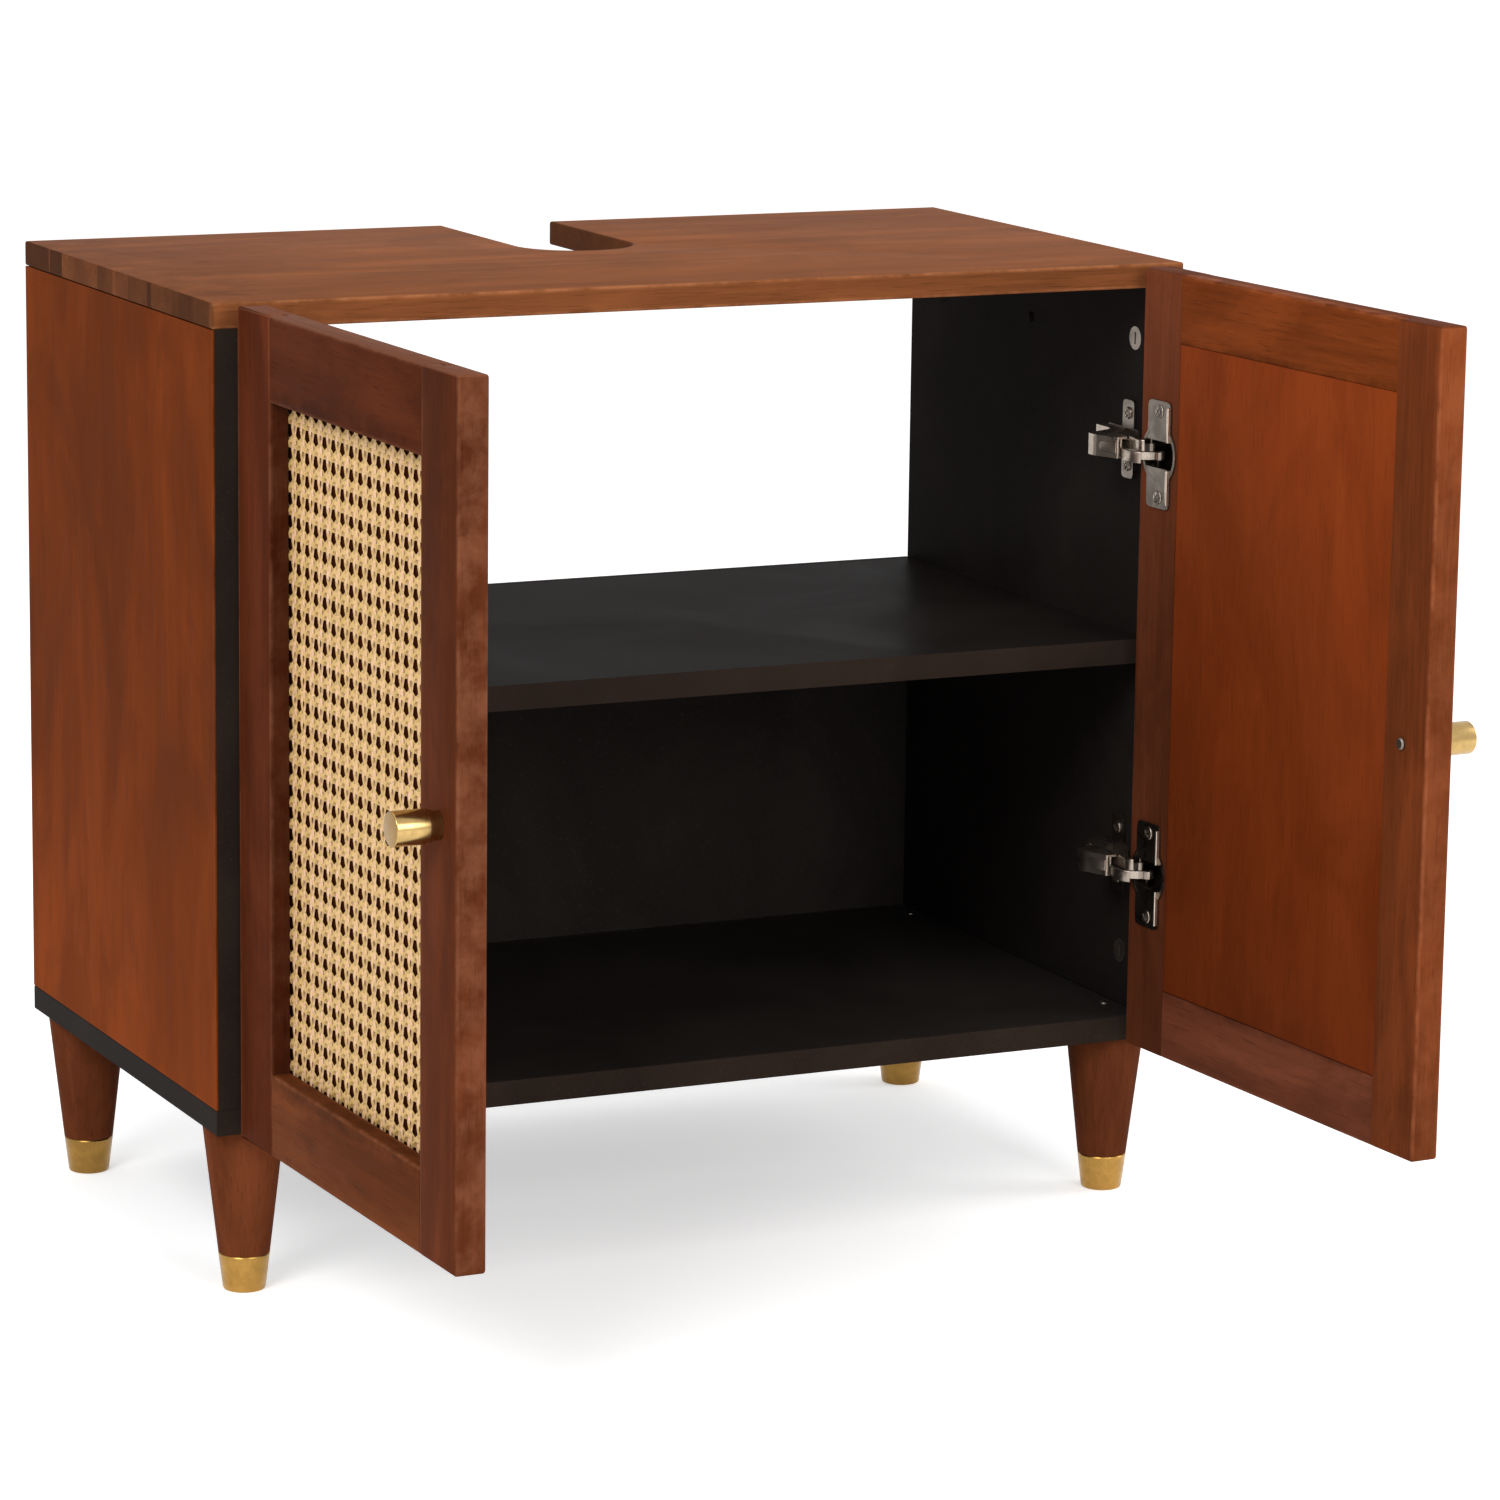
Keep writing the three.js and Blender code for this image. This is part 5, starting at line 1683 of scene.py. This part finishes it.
    def cup_material(self, base, side, door):
        """Darker copy of the nickel, as painted shade and painted reflection of the wood, with painted shade deep
        inside the cup's hollow.
        """
        material = metal_material("shaded_cup_nickel", base, f"{side}_")
        tree = material.node_tree
        mouth = np.array([[*plan(HANDS[side], 0, door.back), 0.0]])
        place = own_place(tree, door_turn(side), swung(mouth, side)[0])
        inside = remap(tree, split(tree, place)["Y"], 0.0, -CUP_HOLLOW_DEPTH, smooth=True)
        # painted shade deep in the hollow
        lay_over(material, math_node(tree, "MULTIPLY", inside, CUP_HOLLOW_SHARE), CUP_HOLLOW_PAINTED_SHADE)
        return material

    def add_screws(self, side, hand, door, metal, dull_shaded):
        """Screw heads on the mounting plates, arms and bottom board, and on the cups' flanges."""
        inward = (hand, 0, 0)
        fixed, hung, base = [], [], []
        plate = plan(hand, PLATE_FACE_U, PLATE_SCREW_V)
        flange = plan(hand, door.edge + CUP_EDGE_DISTANCE, FLANGE_FACE_V)
        for level in hinge_levels(door):
            for sign in (-1, 1):
                fixed.append(screw_shapes((*plate, level + sign * PLATE_SCREW_SPREAD), inward, *PLATE_SCREW))
                hung.append(screw_shapes((*flange, level + sign * CUP_SCREW_SPREAD), (0, 1, 0), *CUP_SCREW))
            for v in ARM_SCREW_PLACES_V:
                fixed.append(screw_shapes((*plan(hand, ARM_FACE_U, v), level), inward, *ARM_SCREW))
        top = float(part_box("bottom_board")[1][2])
        for y in BASE_SCREW_PLACES_Y:
            x = -hand * (INNER_HALF - BASE_SCREW_INSET)
            base.append(screw_shapes((x, y, top), (0, 0, 1), *BASE_SCREW))
        for name, screws, finish in (("carcass", fixed, metal), ("bottom", base, dull_shaded)):
            heads, recesses = zip(*screws)
            name = f"{side}_{name}_screw_heads"
            add_piece(name, joined(heads), finish, CARCASS, holes=[joined(recesses)])
        heads, recesses = zip(*hung)
        whole, hole = swing_shape(joined(heads), side), swing_shape(joined(recesses), side)
        add_piece(f"{side}_door_screw_heads", whole, metal, f"{side}_door", holes=[hole])

    def add_tongues(self, side, hand, door, metal):
        """Pressed tongue on the sloping front of each arm."""
        rear, front = (plan(hand, *place) for place in ARM_SLOPE)
        run = Vector((*(front - rear), 0))
        along, up = run.normalized(), Vector((0, 0, 1))
        out = along.cross(up)
        out *= math.copysign(1, out.x * hand)
        start, end = (share * run.length for share in TONGUE_SPAN)
        outline = rectangle((start, -TONGUE_HALF), (end, TONGUE_HALF), TONGUE_ROUNDS, 8)
        tongue = bar(outline, *TONGUE_DEPTHS, TONGUE_ARRIS)
        shapes = [framed(tongue, (*rear, level), along, up, out) for level in hinge_levels(door)]
        add_piece(f"{side}_arm_tongues", joined(shapes), metal, CARCASS)


# Camera and stage

CAMERA_PLACE = (-1.4117, -3.3536, 0.8683)
CAMERA_YAW = 0.44368
CAMERA_PITCH = 0.198806
CAMERA_ROLL = 0.01325
PHOTO_PIXELS = 1500
FOCAL_PIXELS = 5777.17
SENSOR_WIDTH = 36.0
CAMERA_REACH = 100

FLOOR_REACH = 40.0
FLOOR_SIDES = 96
FLOOR_COLOUR = (0.93, 0.93, 0.93, 1)
FLOOR_ROUGHNESS = 0.9
FLOOR_SPECULAR = 0.1
FLOOR_GLOW = 0.44
ROOM_LIGHT = 0.62
WHITE = (1, 1, 1, 1)

# Large soft lamps: place, aim, size and power in watts

LAMPS = {
    "key": ((-2.6, -2.4, 2.6), (0, -0.2, 0.2), 1.8, 70),
    "front": ((0.6, -3.6, 1.5), (0, -0.3, 0.2), 1.6, 38),
    "top": ((0.4, 0.4, 3.0), (0, -0.2, 0.2), 2.0, 12),
    "right": ((3.0, -1.0, 1.6), (0, -0.2, 0.2), 1.6, 26),
}


def seen_by(tree, first, *rays):
    """One where the surface is met by any of these kinds of ray, and zero elsewhere."""
    path = add_node(tree, "ShaderNodeLightPath")
    seen = path.outputs[first]
    for ray in rays:
        seen = math_node(tree, "MAXIMUM", seen, path.outputs[ray])
    return seen


class CABINET_OT_stage(bpy.types.Operator):
    """Sets the floor, the soft studio light and the camera"""

    bl_idname = "cabinet.stage"
    bl_label = "Stage"

    def execute(self, context):
        scene = context.scene
        scene.view_settings.view_transform = "Standard"
        self.add_floor()
        self.add_world(scene)
        for name, values in LAMPS.items():
            self.add_lamp(name, *values)
        self.add_camera(scene)
        return {"FINISHED"}

    def add_floor(self):
        """Round pale floor, reach (cos a, sin a), which also glows white to the camera and in metal."""
        angle = np.linspace(0, 2 * math.pi, FLOOR_SIDES, endpoint=False)
        level = np.full(FLOOR_SIDES, FLOOR_LEVEL)
        rim = np.stack([FLOOR_REACH * np.cos(angle), FLOOR_REACH * np.sin(angle), level], axis=1)
        mesh = bpy.data.meshes.new("floor")
        mesh.from_pydata(rim.tolist(), [], [list(range(FLOOR_SIDES))])
        floor = new_object("floor", mesh)
        material, tree, shader = new_material("floor_paint")
        shader.inputs["Base Color"].default_value = FLOOR_COLOUR
        shader.inputs["Roughness"].default_value = FLOOR_ROUGHNESS
        shader.inputs["Specular IOR Level"].default_value = FLOOR_SPECULAR
        seen = seen_by(tree, "Is Camera Ray", "Is Glossy Ray")
        glow = add_node(tree, "ShaderNodeEmission", {"Color": WHITE, "Strength": FLOOR_GLOW})
        chosen = add_node(tree, "ShaderNodeMixShader", {0: seen, 2: glow.outputs[0]})
        total = add_node(tree, "ShaderNodeAddShader", {0: shader.outputs[0], 1: chosen.outputs[0]})
        tree.links.new(total.outputs[0], find_node(tree, "OUTPUT_MATERIAL").inputs["Surface"])
        mesh.materials.append(material)

    def add_world(self, scene):
        """Soft light from all round, seen as plain white."""
        world = bpy.data.worlds.new("studio")
        scene.world = world
        world.use_nodes = True
        tree = world.node_tree
        tree.nodes.clear()
        seen = seen_by(tree, "Is Camera Ray", "Is Glossy Ray", "Is Transmission Ray")
        soft, white = (
            add_node(tree, "ShaderNodeBackground", {"Color": WHITE, "Strength": strength})
            for strength in (ROOM_LIGHT, 1.0)
        )
        mixed = add_node(tree, "ShaderNodeMixShader", {0: seen, 1: soft.outputs[0], 2: white.outputs[0]})
        add_node(tree, "ShaderNodeOutputWorld", {"Surface": mixed.outputs[0]})

    def add_lamp(self, name, place, aim, size, power):
        """One round lamp, turned to its aim."""
        lamp = bpy.data.lights.new(name, "AREA")
        lamp.shape = "DISK"
        lamp.size = size
        lamp.energy = power
        made = new_object(name, lamp)
        made.location = place
        made.rotation_euler = (Vector(aim) - Vector(place)).to_track_quat("-Z", "Y").to_euler()

    def add_camera(self, scene):
        """Camera at the photograph's angle: yaw from +Y toward +X, pitch down, then roll."""
        yaw, pitch, roll = CAMERA_YAW, CAMERA_PITCH, CAMERA_ROLL
        level = math.cos(pitch)
        ahead = Vector((math.sin(yaw) * level, math.cos(yaw) * level, -math.sin(pitch)))
        right = Vector((math.cos(yaw), -math.sin(yaw), 0))
        up = right.cross(ahead)
        turned_right = right * math.cos(roll) + up * math.sin(roll)
        turned_up = up * math.cos(roll) - right * math.sin(roll)
        camera = bpy.data.cameras.new("camera")
        camera.sensor_width = SENSOR_WIDTH
        camera.lens = FOCAL_PIXELS * SENSOR_WIDTH / PHOTO_PIXELS
        camera.clip_end = CAMERA_REACH
        made = new_object("camera", camera)
        turn = Matrix((turned_right, turned_up, -ahead)).transposed()
        made.matrix_world = Matrix.Translation(CAMERA_PLACE) @ turn.to_4x4()
        scene.camera = made


OPERATORS = (
    CABINET_OT_boards,
    CABINET_OT_legs,
    CABINET_OT_doors,
    CABINET_OT_cane,
    CABINET_OT_knobs,
    CABINET_OT_hinges,
    CABINET_OT_stage,
)


class CABINET_PT_panel(bpy.types.Panel):
    """Lists the cabinet's sizes and the steps that build it"""

    bl_idname = "CABINET_PT_panel"
    bl_label = "Under-basin cabinet"
    bl_space_type = "VIEW_3D"
    bl_region_type = "UI"
    bl_category = "Cabinet"

    def draw(self, context):
        for name, group in PROPERTY_GROUPS.items():
            box = self.layout.box()
            box.label(text=group.__doc__)
            values = getattr(context.scene, name)
            for prop in group.__annotations__:
                box.prop(values, prop)
        for operator in OPERATORS:
            self.layout.operator(operator.bl_idname)


CLASSES = (*PROPERTY_GROUPS.values(), *OPERATORS, CABINET_PT_panel)


def register():
    """Registers the classes and gives the scene its groups of values."""
    for cls in CLASSES:
        bpy.utils.register_class(cls)
    for name, group in PROPERTY_GROUPS.items():
        setattr(bpy.types.Scene, name, PointerProperty(type=group))


def unregister():
    """Takes away what register() added."""
    for name in PROPERTY_GROUPS:
        delattr(bpy.types.Scene, name)
    for cls in reversed(CLASSES):
        bpy.utils.unregister_class(cls)


def main():
    register()
    for operator in OPERATORS:
        group, name = operator.bl_idname.split(".")
        getattr(getattr(bpy.ops, group), name)()


if __name__ == "__main__":
    main()
